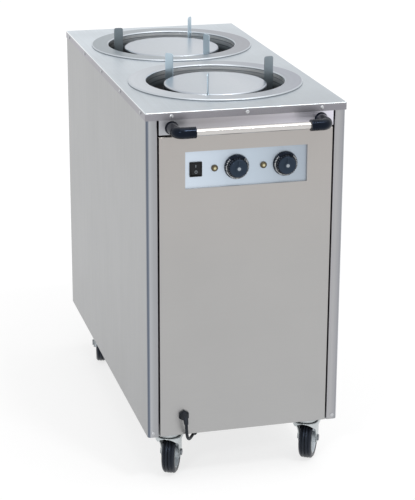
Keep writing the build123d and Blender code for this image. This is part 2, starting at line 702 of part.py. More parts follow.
# Switch housing: bezel in front of the plate, hollow body behind it.
with BuildPart() as switch_housing:
    with BuildSketch(Plane.XZ.offset(-PLATE_FACE)):
        with Locations((SWITCH_X, CONTROL)):
            RectangleRounded(SWITCH_W, SWITCH_H, SWITCH_BEZEL)
    extrude(amount=SWITCH_BEZEL)
    with BuildSketch(Plane.XZ.offset(-PLATE_FACE)):
        with Locations((SWITCH_X, CONTROL)):
            Rectangle(SWITCH_BODY_W, SWITCH_BODY_H)
    extrude(amount=-SWITCH_DEPTH)
    with BuildSketch(Plane.XZ.offset(SWITCH_BEZEL - PLATE_FACE)):
        with Locations((SWITCH_X, CONTROL)):
            Rectangle(SWITCH_W - 2 * SWITCH_WALL, SWITCH_H - 2 * SWITCH_WALL)
    extrude(amount=SWITCH_BEZEL - SWITCH_DEPTH * 0.8, mode=Mode.SUBTRACT)
switch_housing.part.label = "switch_housing"
export_step(switch_housing.part, "parts/switch_housing.step")

# Rocker: two faces in a shallow V over a round back, turned on its pin to the OFF side.
ROCKER_Y = PLATE_FACE + SWITCH_BEZEL
ROCKER_UP = SWITCH_BEZEL + 3.0
with BuildPart() as switch_rocker:
    lean = radians(ROCKER_TILT)
    with BuildSketch(
        Plane(origin=(SWITCH_X, ROCKER_Y, CONTROL), x_dir=(0, -cos(lean), sin(lean)), z_dir=(-1, 0, 0))
    ):
        with BuildLine():
            Polyline(
                (0, -ROCKER_H / 2 + 1),
                (ROCKER_UP + 1, -ROCKER_H / 2 + 1),
                (ROCKER_UP - 1.4, 0),
                (ROCKER_UP + 1, ROCKER_H / 2 - 1),
                (0, ROCKER_H / 2 - 1),
            )
            ThreePointArc((0, ROCKER_H / 2 - 1), (-SWITCH_DEPTH / 3, 0), (0, -ROCKER_H / 2 + 1))
        make_face()
    extrude(amount=ROCKER_W / 2, both=True)
switch_rocker.part.label = "switch_rocker"
export_step(switch_rocker.part, "parts/switch_rocker.step")

# Indicator lamps: turned bezels with domed lenses.
with BuildPart() as lamp_bezels:
    for x in LAMP_X:
        with BuildSketch(Plane.XY.offset(CONTROL)):
            with BuildLine():
                Polyline(
                    (x + LAMP_LENS_R, PLATE_FACE - 3),
                    (x + LAMP_R - 1, PLATE_FACE - 3),
                    (x + LAMP_R, PLATE_FACE - 2),
                    (x + LAMP_R, PLATE_FACE),
                    (x + LAMP_R - 1 - RUNNING, PLATE_FACE),
                    (x + LAMP_R - 1 - RUNNING, PLATE_FACE + LAMP_DEPTH),
                    (x, PLATE_FACE + LAMP_DEPTH),
                    (x, PLATE_FACE),
                    (x + LAMP_LENS_R, PLATE_FACE),
                    close=True,
                )
            make_face()
        revolve(axis=Axis((x, 0, CONTROL), (0, 1, 0)))
lamp_bezels.part.label = "lamp_bezels"
export_step(lamp_bezels.part, "parts/lamp_bezels.step")

with BuildPart() as lamp_lenses:
    with Locations(*[facing(x, PLATE_FACE, CONTROL, (0, -1, 0)) for x in LAMP_X]):
        Cylinder(LAMP_LENS_R, 5, align=(Align.CENTER, Align.CENTER, Align.MIN))
    fillet(lamp_lenses.faces().sort_by(Axis.Y)[:2].edges(), radius=2.5)
lamp_lenses.part.label = "lamp_lenses"
export_step(lamp_lenses.part, "parts/lamp_lenses.step")

# Thermostats behind the plate, each with its spindle and pointer knob.
for name, x in zip(("left", "right"), KNOB_X):
    with BuildPart() as thermostat:
        with BuildSketch(Plane.XZ.offset(-PLATE_BACK)):
            with Locations((x, CONTROL)):
                RectangleRounded(THERMO_W, THERMO_W, 3)
        extrude(amount=-THERMO_D)
        with BuildSketch(Plane.XZ.offset(-PLATE_BACK)):
            with Locations((x, CONTROL)):
                Circle(SPINDLE_R + 2 - RUNNING)
        extrude(amount=PANEL_T)
        with Locations(facing(x, PLATE_FACE, CONTROL, (0, -1, 0))):
            Cylinder(SPINDLE_R + RUNNING, 2 * THERMO_D, mode=Mode.SUBTRACT)
    thermostat.part.label = f"thermostat_{name}"
    export_step(thermostat.part, f"parts/thermostat_{name}.step")

    with BuildPart() as spindle:
        with Locations(facing(x, PLATE_FACE - SPINDLE_OUT, CONTROL, (0, -1, 0))):
            Cylinder(SPINDLE_R, SPINDLE_OUT + THERMO_D, align=(Align.CENTER, Align.CENTER, Align.MAX))
    spindle.part.label = f"spindle_{name}"
    export_step(spindle.part, f"parts/spindle_{name}.step")

    with BuildPart() as knob:
        back = PLATE_FACE - KNOB_GAP
        with BuildSketch(Plane.XY.offset(CONTROL)):
            with BuildLine():
                FilletPolyline(
                    (x, back),
                    (x + KNOB_R, back),
                    (x + KNOB_R - 1.5, back - KNOB_SKIRT),
                    (x + KNOB_DRUM_R + 1.5, back - KNOB_SKIRT - 1.5),
                    (x + KNOB_DRUM_R, back - KNOB_H + 6),
                    (x + KNOB_DRUM_R - 3, back - KNOB_H + 3),
                    (x, back - KNOB_H + 3),
                    radius=(0.5, 1.2, 2.0, 1.5, 1.5),
                )
                Line((x, back - KNOB_H + 3), (x, back))
            make_face()
        revolve(axis=Axis((x, 0, CONTROL), (0, 1, 0)))
        with BuildSketch(Plane.XZ.offset(KNOB_H - back)):
            with Locations((x, CONTROL)):
                with PolarLocations(KNOB_DRUM_R, KNOB_FLUTES):
                    Circle(KNOB_FLUTE_R)
        extrude(amount=2 * KNOB_SKIRT - KNOB_H, mode=Mode.SUBTRACT)
        with BuildSketch(Plane.XZ.offset(KNOB_H - 3 - back)):
            with Locations((x, CONTROL)):
                Circle(KNOB_CAP_R)
            with Locations((x, CONTROL + KNOB_DRUM_R / 2)):
                Rectangle(KNOB_MARK_W, KNOB_DRUM_R - 6)
        extrude(amount=2)
        with Locations(facing(x, back, CONTROL, (0, -1, 0))):
            Cylinder(
                SPINDLE_R + RUNNING,
                SPINDLE_OUT - KNOB_GAP,
                align=(Align.CENTER, Align.CENTER, Align.MIN),
                mode=Mode.SUBTRACT,
            )
    knob.part.label = f"knob_{name}"
    export_step(knob.part, f"parts/knob_{name}.step")

# ---------------------------------------------------------------- push handle

with BuildPart() as handle_tube:
    with BuildSketch(Plane.YZ):
        with Locations((HANDLE_Y, HANDLE_Z)):
            Circle(HANDLE_TUBE_R)
            Circle(HANDLE_TUBE_R - HANDLE_TUBE_T, mode=Mode.SUBTRACT)
    extrude(amount=ELBOW_END + ELBOW_SOCKET, both=True)
handle_tube.part.label = "handle_tube"
export_step(handle_tube.part, "parts/handle_tube.step")

# Moulded elbows: round foot on the header, quarter bend, ringed socket for the tube.
for name, side in (("left", -1), ("right", 1)):
    with BuildPart() as elbow:
        with BuildLine() as elbow_path:
            FilletPolyline(
                (side * HANDLE_X, SKIN_FRONT, HANDLE_Z),
                (side * HANDLE_X, HANDLE_Y, HANDLE_Z),
                (side * ELBOW_END, HANDLE_Y, HANDLE_Z),
                radius=ELBOW_BEND,
            )
        with BuildSketch(Plane(elbow_path.line @ 0, z_dir=elbow_path.line % 0)):
            Circle(ELBOW_R)
        sweep(path=elbow_path.line)
        with Locations(facing(side * HANDLE_X, SKIN_FRONT, HANDLE_Z, (0, -1, 0))):
            Cone(
                ELBOW_FOOT_R,
                ELBOW_R,
                ELBOW_FOOT_T,
                align=(Align.CENTER, Align.CENTER, Align.MIN),
            )
            Cylinder(
                HANDLE_SCREW_R + RUNNING,
                HANDLE_SCREW_IN,
                align=(Align.CENTER, Align.CENTER, Align.MIN),
                mode=Mode.SUBTRACT,
            )
        with Locations(facing(side * ELBOW_END, HANDLE_Y, HANDLE_Z, (-side, 0, 0))):
            Cylinder(
                HANDLE_TUBE_R,
                ELBOW_SOCKET,
                align=(Align.CENTER, Align.CENTER, Align.MAX),
                mode=Mode.SUBTRACT,
            )
        for ring in (1, 2, 3):
            ring_x = ELBOW_END + ring * ELBOW_RING_PITCH
            with BuildSketch(facing(side * ring_x, HANDLE_Y, HANDLE_Z, (side, 0, 0))):
                Circle(ELBOW_R + 1)
                Circle(ELBOW_R - ELBOW_RING_DEPTH, mode=Mode.SUBTRACT)
            extrude(amount=ELBOW_RING_W, mode=Mode.SUBTRACT)
    elbow.part.label = f"handle_elbow_{name}"
    export_step(elbow.part, f"parts/handle_elbow_{name}.step")

# ---------------------------------------------------------------- casters

# Top plates with the upper race and the king pin that holds the fork.
with BuildPart() as caster_plates:
    for x, y in CASTERS.values():
        with BuildSketch(Plane.XY.offset(BASE)):
            with Locations((x, y)):
                RectangleRounded(MOUNT_X, MOUNT_Y, MOUNT_CORNER)
                with GridLocations(MOUNT_BOLT_X, MOUNT_BOLT_Y, 2, 2):
                    Circle(MOUNT_BOLT_R + RUNNING, mode=Mode.SUBTRACT)
        extrude(amount=-MOUNT_T)
        with Locations((x, y, BASE - MOUNT_T)):
            Cylinder(
                RACE_R,
                CROWN_SINK - MOUNT_T - RACE_GAP,
                align=(Align.CENTER, Align.CENTER, Align.MAX),
            )
            Cylinder(
                KING_R,
                CROWN_SINK - MOUNT_T + FORK_T + RACE_GAP,
                align=(Align.CENTER, Align.CENTER, Align.MAX),
            )
        with Locations((x, y, CROWN_TOP - FORK_T - RACE_GAP)):
            Cylinder(KING_HEAD_R, KING_HEAD_T, align=(Align.CENTER, Align.CENTER, Align.MAX))
caster_plates.part.label = "caster_plates"
export_step(caster_plates.part, "parts/caster_plates.step")

# Bolts up through plate and pan with nuts inside, and the cord clip's screw.
with BuildPart() as base_bolts:
    for x, y in CASTERS.values():
        with Locations((x, y, BASE - MOUNT_T)):
            with GridLocations(MOUNT_BOLT_X, MOUNT_BOLT_Y, 2, 2):
                Cylinder(1.5 * MOUNT_BOLT_R, 4, align=(Align.CENTER, Align.CENTER, Align.MAX))
                Cylinder(
                    MOUNT_BOLT_R,
                    MOUNT_T + PAN_T + 1.6 * MOUNT_NUT_T,
                    align=(Align.CENTER, Align.CENTER, Align.MIN),
                )
        with Locations((x, y, BASE + PAN_T)):
            with GridLocations(MOUNT_BOLT_X, MOUNT_BOLT_Y, 2, 2):
                Cylinder(1.5 * MOUNT_BOLT_R, MOUNT_NUT_T, align=(Align.CENTER, Align.CENTER, Align.MIN))
    with Locations(*CLIP_SCREWS):
        Cylinder(2 * CLIP_SCREW_R, CLIP_SCREW_R, align=(Align.CENTER, Align.CENTER, Align.MIN))
        Cylinder(CLIP_SCREW_R, 4 * PAN_T, align=(Align.CENTER, Align.CENTER, Align.MAX))
base_bolts.part.label = "base_bolts"
export_step(base_bolts.part, "parts/base_bolts.step")

for name, (x, y) in CASTERS.items():
    turn = radians(CASTER_TURN[name])
    axle_dir = Vector(cos(turn), sin(turn), 0)
    trail_dir = Vector(-sin(turn), cos(turn), 0)
    across = Plane(origin=(x, y, 0), x_dir=axle_dir, z_dir=-trail_dir)
    along = Plane(origin=(x, y, 0), x_dir=trail_dir, z_dir=axle_dir)
    wheel_centre = Vector(x, y, AXLE_Z) + trail_dir * TRAIL
    wheel_plane = Plane(origin=wheel_centre, x_dir=axle_dir, z_dir=-trail_dir)
    axle_plane = Plane(origin=wheel_centre, x_dir=trail_dir, z_dir=axle_dir)
    wheel_axis = Axis(wheel_centre, axle_dir)

    # Fork: a bent strap over the wheel, trimmed to its side outline, that runs into a rounded hood
    # with an arch over the tread.
    with BuildPart() as fork:
        with BuildSketch(across):
            with BuildLine():
                FilletPolyline(
                    (-LEG_X, AXLE_Z - LEG_EYE_R),
                    (-LEG_X, CROWN_TOP - SHOULDER),
                    (-CROWN_X, CROWN_TOP - CROWN_BAND),
                    (-CROWN_X, CROWN_TOP),
                    (CROWN_X, CROWN_TOP),
                    (CROWN_X, CROWN_TOP - CROWN_BAND),
                    (LEG_X, CROWN_TOP - SHOULDER),
                    (LEG_X, AXLE_Z - LEG_EYE_R),
                    radius=(4, 4, 4, 4, 4, 4),
                )
                offset(amount=FORK_T, side=Side.RIGHT)
            make_face()
        extrude(amount=-(TRAIL + LEG_EYE_R))
        with BuildSketch(along.offset(-2 * CROWN_X)):
            with BuildLine():
                Polyline(
                    (0, CROWN_TOP - HOOD_H),
                    (0, CROWN_TOP),
                    (CROWN_X, CROWN_TOP),
                    (TRAIL + LEG_EYE_R, CROWN_TOP - SHOULDER),
                    (TRAIL + LEG_EYE_R, AXLE_Z),
                )
                ThreePointArc(
                    (TRAIL + LEG_EYE_R, AXLE_Z),
                    (TRAIL, AXLE_Z - LEG_EYE_R),
                    (TRAIL - LEG_EYE_R, AXLE_Z),
                )
                ThreePointArc(
                    (TRAIL - LEG_EYE_R, AXLE_Z),
                    (TRAIL / 4, CROWN_TOP - 1.3 * SHOULDER),
                    (0, CROWN_TOP - HOOD_H),
                )
            make_face()
        extrude(amount=4 * CROWN_X, mode=Mode.INTERSECT)
        with BuildSketch(across):
            with BuildLine():
                FilletPolyline(
                    (0, CROWN_TOP),
                    (-CROWN_X, CROWN_TOP),
                    (-CROWN_X, CROWN_TOP - CROWN_BAND),
                    (-LEG_X, CROWN_TOP - SHOULDER),
                    radius=4,
                )
                offset(amount=FORK_T, side=Side.LEFT)
            make_face()
        revolve(axis=Axis((x, y, 0), (0, 0, 1)), revolution_arc=180)
        with BuildSketch(across):
            with Locations((0, CROWN_TOP - FORK_T - HOOD_ARCH_R)):
                Circle(HOOD_ARCH_R)
        extrude(amount=2 * CROWN_X, mode=Mode.SUBTRACT)
        with Locations((x, y, CROWN_TOP)):
            Cylinder(KING_R + RUNNING, 4 * FORK_T, mode=Mode.SUBTRACT)
        with Locations(axle_plane):
            Cylinder(AXLE_R + RUNNING, 4 * LEG_X, mode=Mode.SUBTRACT)
    fork.part.label = f"fork_{name}"
    export_step(fork.part, f"parts/fork_{name}.step")

    # Axle bolt with its nut.
    with BuildPart() as axle:
        with Locations(axle_plane):
            Cylinder(AXLE_R, 2 * LEG_X)
            with Locations((0, 0, LEG_X)):
                Cylinder(1.5 * AXLE_R, 0.6 * AXLE_R, align=(Align.CENTER, Align.CENTER, Align.MIN))
            with Locations((0, 0, -LEG_X)):
                Cylinder(1.5 * AXLE_R, 0.6 * AXLE_R, align=(Align.CENTER, Align.CENTER, Align.MAX))
    axle.part.label = f"axle_{name}"
    export_step(axle.part, f"parts/axle_{name}.step")

    # Hub: turned wheel centre with a thin web.
    hub_x = LEG_X - FORK_T - FORK_GAP
    rim_x = TREAD_W / 2 - 1
    with BuildPart() as hub:
        with BuildSketch(wheel_plane):
            with BuildLine():
                Polyline(
                    (-hub_x, AXLE_R + RUNNING),
                    (-hub_x, HUB_BOSS_R),
                    (-HUB_WEB / 2, HUB_BOSS_R + 2),
                    (-HUB_WEB / 2, TYRE_IN - 6),
                    (-rim_x, TYRE_IN - 3),
                    (-rim_x, TYRE_IN),
                    (rim_x, TYRE_IN),
                    (rim_x, TYRE_IN - 3),
                    (HUB_WEB / 2, TYRE_IN - 6),
                    (HUB_WEB / 2, HUB_BOSS_R + 2),
                    (hub_x, HUB_BOSS_R),
                    (hub_x, AXLE_R + RUNNING),
                    close=True,
                )
            make_face()
        revolve(axis=wheel_axis)
    hub.part.label = f"hub_{name}"
    export_step(hub.part, f"parts/hub_{name}.step")

    # Tyre: rounded shoulders and three grooves round the tread.
    with BuildPart() as tyre:
        with BuildSketch(wheel_plane):
            half = TREAD_W / 2
            rib = TREAD_W / 10
            with BuildLine():
                Polyline(
                    (-half, TYRE_IN),
                    (half, TYRE_IN),
                    (half, WHEEL_R - 5),
                    (half - 3, WHEEL_R - 1),
                    (3 * rib, WHEEL_R),
                    (2.5 * rib, WHEEL_R - RIB_DEPTH),
                    (1.5 * rib, WHEEL_R),
                    (0.5 * rib, WHEEL_R),
                    (0, WHEEL_R - RIB_DEPTH),
                    (-0.5 * rib, WHEEL_R),
                    (-1.5 * rib, WHEEL_R),
                    (-2.5 * rib, WHEEL_R - RIB_DEPTH),
                    (-3 * rib, WHEEL_R),
                    (3 - half, WHEEL_R - 1),
                    (-half, WHEEL_R - 5),
                    close=True,
                )
            make_face()
        revolve(axis=wheel_axis)
    tyre.part.label = f"tyre_{name}"
    export_step(tyre.part, f"parts/tyre_{name}.step")

# ---------------------------------------------------------------- supply cord

# Gland: hexagon and dome in front, lock nut behind, and a boot that droops in a short bend.
with BuildPart() as cable_gland:
    with BuildSketch(facing(GLAND_X, SKIN_FRONT, GLAND, (0, -1, 0))):
        RegularPolygon(GLAND_HEX_R, 6)
    extrude(amount=GLAND_HEX_T)
    with Locations(facing(GLAND_X, SKIN_FRONT, GLAND, (0, -1, 0))):
        Cylinder(GLAND_THREAD_R, FOLD - 3, align=(Align.CENTER, Align.CENTER, Align.MAX))
    with Locations(facing(GLAND_X, SKIN_FRONT - GLAND_HEX_T, GLAND, (0, -1, 0))):
        Cone(GLAND_DOME_R, BOOT_R[0], GLAND_DOME_L, align=(Align.CENTER, Align.CENTER, Align.MIN))
    for radius, share in zip(BOOT_R, (0, 0.5, 1)):
        with BuildSketch(boot_plane(BOOT_BEND * share)):
            Circle(radius)
    loft()
    with BuildSketch(facing(GLAND_X, SKIN_FRONT + SKIN_T, GLAND, (0, 1, 0))):
        RegularPolygon(GLAND_HEX_R + 1, 6)
    extrude(amount=GLAND_HEX_T)
cable_gland.part.label = "cable_gland"
export_step(cable_gland.part, "parts/cable_gland.step")

# Clips under the base: an eye round the cord, hanging from a screwed foot.
CLIP_UP = BASE - CLIP_Z
with BuildPart() as cord_clip:
    for clip in CLIPS:
        with BuildSketch(clip.offset(-CLIP_W / 2)):
            Circle(CLIP_R)
            with Locations((0, CLIP_UP / 2)):
                Rectangle(CLIP_R, CLIP_UP)
            with Locations((CLIP_R - CLIP_FOOT / 2, CLIP_UP - PAN_T / 2)):
                Rectangle(CLIP_FOOT, PAN_T)
            Circle(CLIP_BORE_R, mode=Mode.SUBTRACT)
        extrude(amount=CLIP_W)
    with Locations(*CLIP_SCREWS):
        Cylinder(CLIP_SCREW_R + RUNNING, 4 * PAN_T, mode=Mode.SUBTRACT)
cord_clip.part.label = "cord_clip"
export_step(cord_clip.part, "parts/cord_clip.step")


def corner_radii(route):
    """As large an arc at each corner as its two runs allow."""
    radii = []
    for before, corner, after in zip(route, route[1:], route[2:]):
        run_in = corner - before
        run_out = after - corner
        turn = radians(run_in.get_angle(run_out))
        radii.append(0.45 * min(run_in.length, run_out.length) / tan(turn / 2))
    return radii


with BuildPart() as power_cord:
    with BuildLine() as cord_path:
        FilletPolyline(*CORD_ROUTE, radius=corner_radii(CORD_ROUTE))
    with BuildSketch(Plane(cord_path.line @ 0, z_dir=cord_path.line % 0)):
        Circle(CORD_R)
    sweep(path=cord_path.line)
power_cord.part.label = "power_cord"
export_step(power_cord.part, "parts/power_cord.step")
print("cord radii", [round(r, 1) for r in corner_radii(CORD_ROUTE)])
cord_length = sum(edge.length for edge in cord_path.edges())
print("cord length", round(cord_length, 1))
print("cord volume share", round(power_cord.part.volume / (pi * CORD_R**2 * cord_length), 4))

# Put-away coil: half turns that step in on the floor, rise one layer, and step out again.
coil_steps = [-COIL_STEP / 2] * COIL_HALF_TURNS + [0] + [COIL_STEP / 2] * COIL_HALF_TURNS
coil_rises = [0] * COIL_HALF_TURNS + [COIL_STEP] + [0] * COIL_HALF_TURNS
coil_half_turns = []
reach, height, sign = COIL_R, COIL_Z, 1
for step, rise in zip(coil_steps, coil_rises):
    next_reach, next_height = reach + step, height + rise
    start = Vector(COIL_CENTRE[0] + sign * reach, FRONT + COIL_CENTRE[1], height)
    end = Vector(COIL_CENTRE[0] - sign * next_reach, FRONT + COIL_CENTRE[1], next_height)
    middle = (start + end) * 0.5 + Vector(0, sign * (end - start).length / 2, 0)
    coil_half_turns.append((start, middle, end))
    reach, height, sign = next_reach, next_height, -sign
coil_end = coil_half_turns[-1][2]
tail_end = coil_end + Vector(0, sign * COIL_TAIL, 0)

with BuildPart() as cord_coil:
    with BuildLine() as coil_path:
        Line(CORD_ROUTE[-1], coil_half_turns[0][0])
        for start, middle, end in coil_half_turns:
            ThreePointArc(start, middle, end)
        Line(coil_end, tail_end)
    with BuildSketch(Plane(coil_path.line @ 0, z_dir=coil_path.line % 0)):
        Circle(CORD_R)
    sweep(path=coil_path.line)
cord_coil.part.label = "cord_coil"
export_step(cord_coil.part, "parts/cord_coil.step")

coil_edges = coil_path.edges()
coil_samples = [edge @ (k / 40) for edge in coil_edges for k in range(40)]
coil_length = sum(edge.length for edge in coil_edges)
coil_gap = min(
    (coil_samples[i] - coil_samples[j]).length
    for i in range(0, len(coil_samples), 2)
    for j in range(i + 60, len(coil_samples), 2)
) - 2 * CORD_R
print("coil length", round(coil_length, 1), "least gap", round(coil_gap, 2))

# Plug: a round moulded grip with a tapered tail and three pins, lying beside the coil.
plug_dir = Vector(0, sign, 0)
PLUG_R = coil_end.Z
with BuildPart() as power_plug:
    plug_side = Plane(origin=tail_end, x_dir=plug_dir, z_dir=(0, 0, 1))
    with BuildSketch(plug_side):
        with BuildLine():
            FilletPolyline(
                (0, 0),
                (0, CORD_R + 1),
                (PLUG_L * 0.35, CORD_R + 2.5),
                (PLUG_L * 0.45, PLUG_R),
                (PLUG_L, PLUG_R),
                (PLUG_L, 0),
                radius=(0.5, 4, 4, 1.5),
            )
            Line((PLUG_L, 0), (0, 0))
        make_face()
    revolve(axis=Axis(tail_end, plug_dir))
    with BuildSketch(Plane(origin=tail_end + plug_dir * PLUG_L, x_dir=(1, 0, 0), z_dir=plug_dir)):
        with Locations((-6.5, 0), (6.5, 0)):
            Rectangle(1.6, 6.4)
        with Locations((0, 7)):
            Circle(2.4)
    extrude(amount=PLUG_PIN_L)
power_plug.part.label = "power_plug"
export_step(power_plug.part, "parts/power_plug.step")
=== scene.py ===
import math

import bpy
import numpy as np
from mathutils import Matrix, Vector


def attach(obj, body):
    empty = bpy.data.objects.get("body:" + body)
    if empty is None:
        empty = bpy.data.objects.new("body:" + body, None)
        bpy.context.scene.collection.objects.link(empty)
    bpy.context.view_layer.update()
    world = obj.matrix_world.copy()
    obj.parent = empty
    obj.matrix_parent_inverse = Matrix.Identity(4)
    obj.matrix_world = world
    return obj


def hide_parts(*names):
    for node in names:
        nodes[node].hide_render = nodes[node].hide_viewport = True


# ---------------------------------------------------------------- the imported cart
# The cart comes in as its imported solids, in metres on the floor, with the control panel facing -Y.
# FRONT is the plane of the deck's front lip, and heights above the underside start at BASE.
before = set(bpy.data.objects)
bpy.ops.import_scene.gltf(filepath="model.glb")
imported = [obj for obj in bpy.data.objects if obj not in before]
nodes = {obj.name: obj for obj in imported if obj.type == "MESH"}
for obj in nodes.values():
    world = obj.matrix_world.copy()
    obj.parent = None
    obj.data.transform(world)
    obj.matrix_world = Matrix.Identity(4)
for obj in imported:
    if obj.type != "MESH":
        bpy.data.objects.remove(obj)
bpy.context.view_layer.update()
FRONT = -0.43585
BASE = 0.125
WELL_FRONT_Y = FRONT + 0.267
WELL_BACK_Y = FRONT + 0.689

# ---------------------------------------------------------------- camera
# A long lens stands 3.4 m in front of the deck's lip and a metre to the left of the cart's middle. It
# is about 0.86 m above the deck, and looks down by 18 degrees.
CAMERA_AT = Vector((-0.9902, FRONT - 3.3889, 1.7309))
TURN, RISE, ROLL = math.radians(-14.915), math.radians(18.448), math.radians(0.254)
behind = Vector((math.sin(TURN) * math.cos(RISE), -math.cos(TURN) * math.cos(RISE), math.sin(RISE)))
level = Vector((math.cos(TURN), math.sin(TURN), 0.0))
upward = behind.cross(level)
right = level * math.cos(ROLL) + upward * math.sin(ROLL)
upward = upward * math.cos(ROLL) - level * math.sin(ROLL)
lens = bpy.data.cameras.new("camera")
lens.sensor_width = 36.0
lens.lens = 121.72
camera = bpy.data.objects.new("camera", lens)
facing = Matrix((right, upward, behind)).transposed().to_4x4()
camera.matrix_world = Matrix.Translation(CAMERA_AT) @ facing
bpy.context.scene.collection.objects.link(camera)
bpy.context.scene.camera = camera

# ---------------------------------------------------------------- supply cord
# Three-core flex in a matt black rubber sheath comes out of a gland with a drooping boot, goes back
# under the base through two clips, and down to the coil where its spare length is put away.
CORD_D = 0.007
BOOT_END = (-0.141, -0.023272, 0.160605)
CORD_ROUTE = [
    BOOT_END,
    (-0.1410, -0.0258, 0.1463),
    (-0.1391, -0.0225, 0.1320),
    (-0.1343, -0.0142, 0.1207),
    (-0.1276, -0.0026, 0.1144),
    (-0.1131, 0.0225, 0.1144),
    (-0.1021, 0.0416, 0.1144),
    (-0.0910, 0.0610, 0.1120),
    (-0.0800, 0.0850, 0.1065),
    (-0.0720, 0.1100, 0.1060),
    (-0.0660, 0.1320, 0.1105),
    (-0.0625, 0.1500, 0.1144),
    (-0.0590, 0.1720, 0.1144),
    (-0.0560, 0.1900, 0.1120),
    (-0.0520, 0.2080, 0.1035),
    (-0.0475, 0.2230, 0.0895),
    (-0.0425, 0.2375, 0.0710),
    (-0.0365, 0.2530, 0.0500),
    (-0.0295, 0.2700, 0.0310),
    (-0.0210, 0.2900, 0.0155),
    (-0.0115, 0.3130, 0.0060),
    (-0.0020, 0.3380, 0.0035),
    (0.0090, 0.3620, 0.0035),
    (0.0180, 0.3860, 0.0035),
    (0.0220, 0.4100, 0.0035),
    (0.0220, 0.4330, 0.0035),
]
COIL_MIDDLE = (-0.026, 0.440)
COIL_R, COIL_STEP, COIL_HALF_TURNS, COIL_TAIL = 0.048, 0.0084, 5, 0.045
COIL_POINTS = 8


def linear(code):
    """An sRGB hex colour as linear RGBA: a channel is c / 12.92 up to 0.04045, else
    ((c + 0.055) / 1.055) ** 2.4."""
    channels = [int(code[i : i + 2], 16) / 255 for i in (1, 3, 5)]
    return [c / 12.92 if c <= 0.04045 else ((c + 0.055) / 1.055) ** 2.4 for c in channels] + [1.0]


def add(tree, kind, sockets=(), **settings):
    """Adds one node: settings are its properties, and sockets its inputs, each a value or an output to
    link."""
    made = tree.nodes.new(kind)
    for name, value in settings.items():
        setattr(made, name, value)
    for name, value in dict(sockets).items():
        if isinstance(value, bpy.types.NodeSocket):
            tree.links.new(value, made.inputs[name])
        else:
            made.inputs[name].default_value = value
    return made


def surface(name):
    """A new material with its node tree and its Principled shader."""
    made = bpy.data.materials.new(name)
    made.use_nodes = True
    return made, made.node_tree, made.node_tree.nodes["Principled BSDF"]


def dress(material, *names):
    """Puts a material on CAD nodes."""
    for name in names:
        for place in nodes[name].material_slots:
            place.material = material


def mapped(tree, value, first, last, start=0.0, end=1.0):
    """A grey output whose span from start to end becomes the span from first to last, and no more."""
    made = add(tree, "ShaderNodeMapRange", {"Value": value, "From Min": start, "From Max": end})
    made.inputs["To Min"].default_value = first
    made.inputs["To Max"].default_value = last
    return made.outputs["Result"]


def bumped(tree, height, strength, depth):
    """The normal of a bump from a grey output, whose white stands the depth in metres over its black."""
    sockets = {"Height": height, "Strength": strength, "Distance": depth}
    return add(tree, "ShaderNodeBump", sockets).outputs["Normal"]


def rubber(name, code, grit_mm, rough=(0.42, 0.62)):
    """Matt black rubber: fine grit in the surface, a little paler and rougher where it is worn, with a
    blue cast on what it mirrors, for the photograph's blue-black."""
    made, tree, shader = surface(name)
    place = add(tree, "ShaderNodeTexCoord").outputs["Object"]
    grit = add(tree, "ShaderNodeTexNoise", {"Vector": place, "Scale": 1000 / grit_mm, "Detail": 3.0})
    worn = add(tree, "ShaderNodeTexNoise", {"Vector": place, "Scale": 30.0, "Detail": 2.0})
    tone = add(tree, "ShaderNodeMix", {"Factor": worn.outputs["Fac"]}, data_type="RGBA")
    tone.inputs["A"].default_value = linear(code)
    tone.inputs["B"].default_value = [0.75 * c + 0.014 for c in linear(code)[:3]] + [1.0]
    tree.links.new(tone.outputs["Result"], shader.inputs["Base Color"])
    tree.links.new(mapped(tree, worn.outputs["Fac"], *rough), shader.inputs["Roughness"])
    tree.links.new(bumped(tree, grit.outputs["Fac"], 0.2, 0.0004), shader.inputs["Normal"])
    shader.inputs["Specular IOR Level"].default_value = 0.4
    shader.inputs["Specular Tint"].default_value = linear("#A9BBDC")
    return made


def coil_points():
    """Control points of the coil: half circles whose ends lie on one axis, each stepping in or out by
    half a pitch; points stand outside the turn by 1/cos(half their spacing), so the line runs on it."""
    steps = [-0.5] * COIL_HALF_TURNS + [0.0] + [0.5] * COIL_HALF_TURNS
    rises = [0.0] * COIL_HALF_TURNS + [1.0] + [0.0] * COIL_HALF_TURNS
    points, reach, height, side = [], COIL_R, CORD_D / 2, 1
    spacing = math.pi / COIL_POINTS
    angles = (np.arange(COIL_POINTS) + 0.5) * spacing
    for step, rise in zip(steps, rises):
        after = reach + step * COIL_STEP
        radius = (reach + after) / 2 / math.cos(spacing / 2)
        middle = COIL_MIDDLE[0] + side * (reach - after) / 2
        x = middle + side * radius * np.cos(angles)
        y = COIL_MIDDLE[1] + side * radius * np.sin(angles)
        z = height + rise * COIL_STEP * (1 - np.cos(angles)) / 2
        points.extend(zip(x, y, z))
        reach, height, side = after, height + rise * COIL_STEP, -side
    end = (COIL_MIDDLE[0] + side * reach, COIL_MIDDLE[1], height)
    tail = [(end[0], end[1] + side * along * COIL_TAIL, end[2]) for along in (0.12, 0.56, 1.0)]
    return points + tail


def tube(name, points, radius, material):
    """A round tube along one open NURBS line of order 3 with these control points."""
    curve = bpy.data.curves.new(name, "CURVE")
    curve.dimensions = "3D"
    curve.bevel_depth = radius
    curve.bevel_resolution = 5
    curve.resolution_u = 8
    curve.use_fill_caps = True
    line = curve.splines.new("NURBS")
    line.points.add(len(points) - 1)
    line.points.foreach_set("co", [v for p in points for v in (*p, 1.0)])
    line.order_u = 3
    line.use_endpoint_u = True
    curve.materials.append(material)
    made = bpy.data.objects.new(name, curve)
    bpy.context.scene.collection.objects.link(made)
    return made


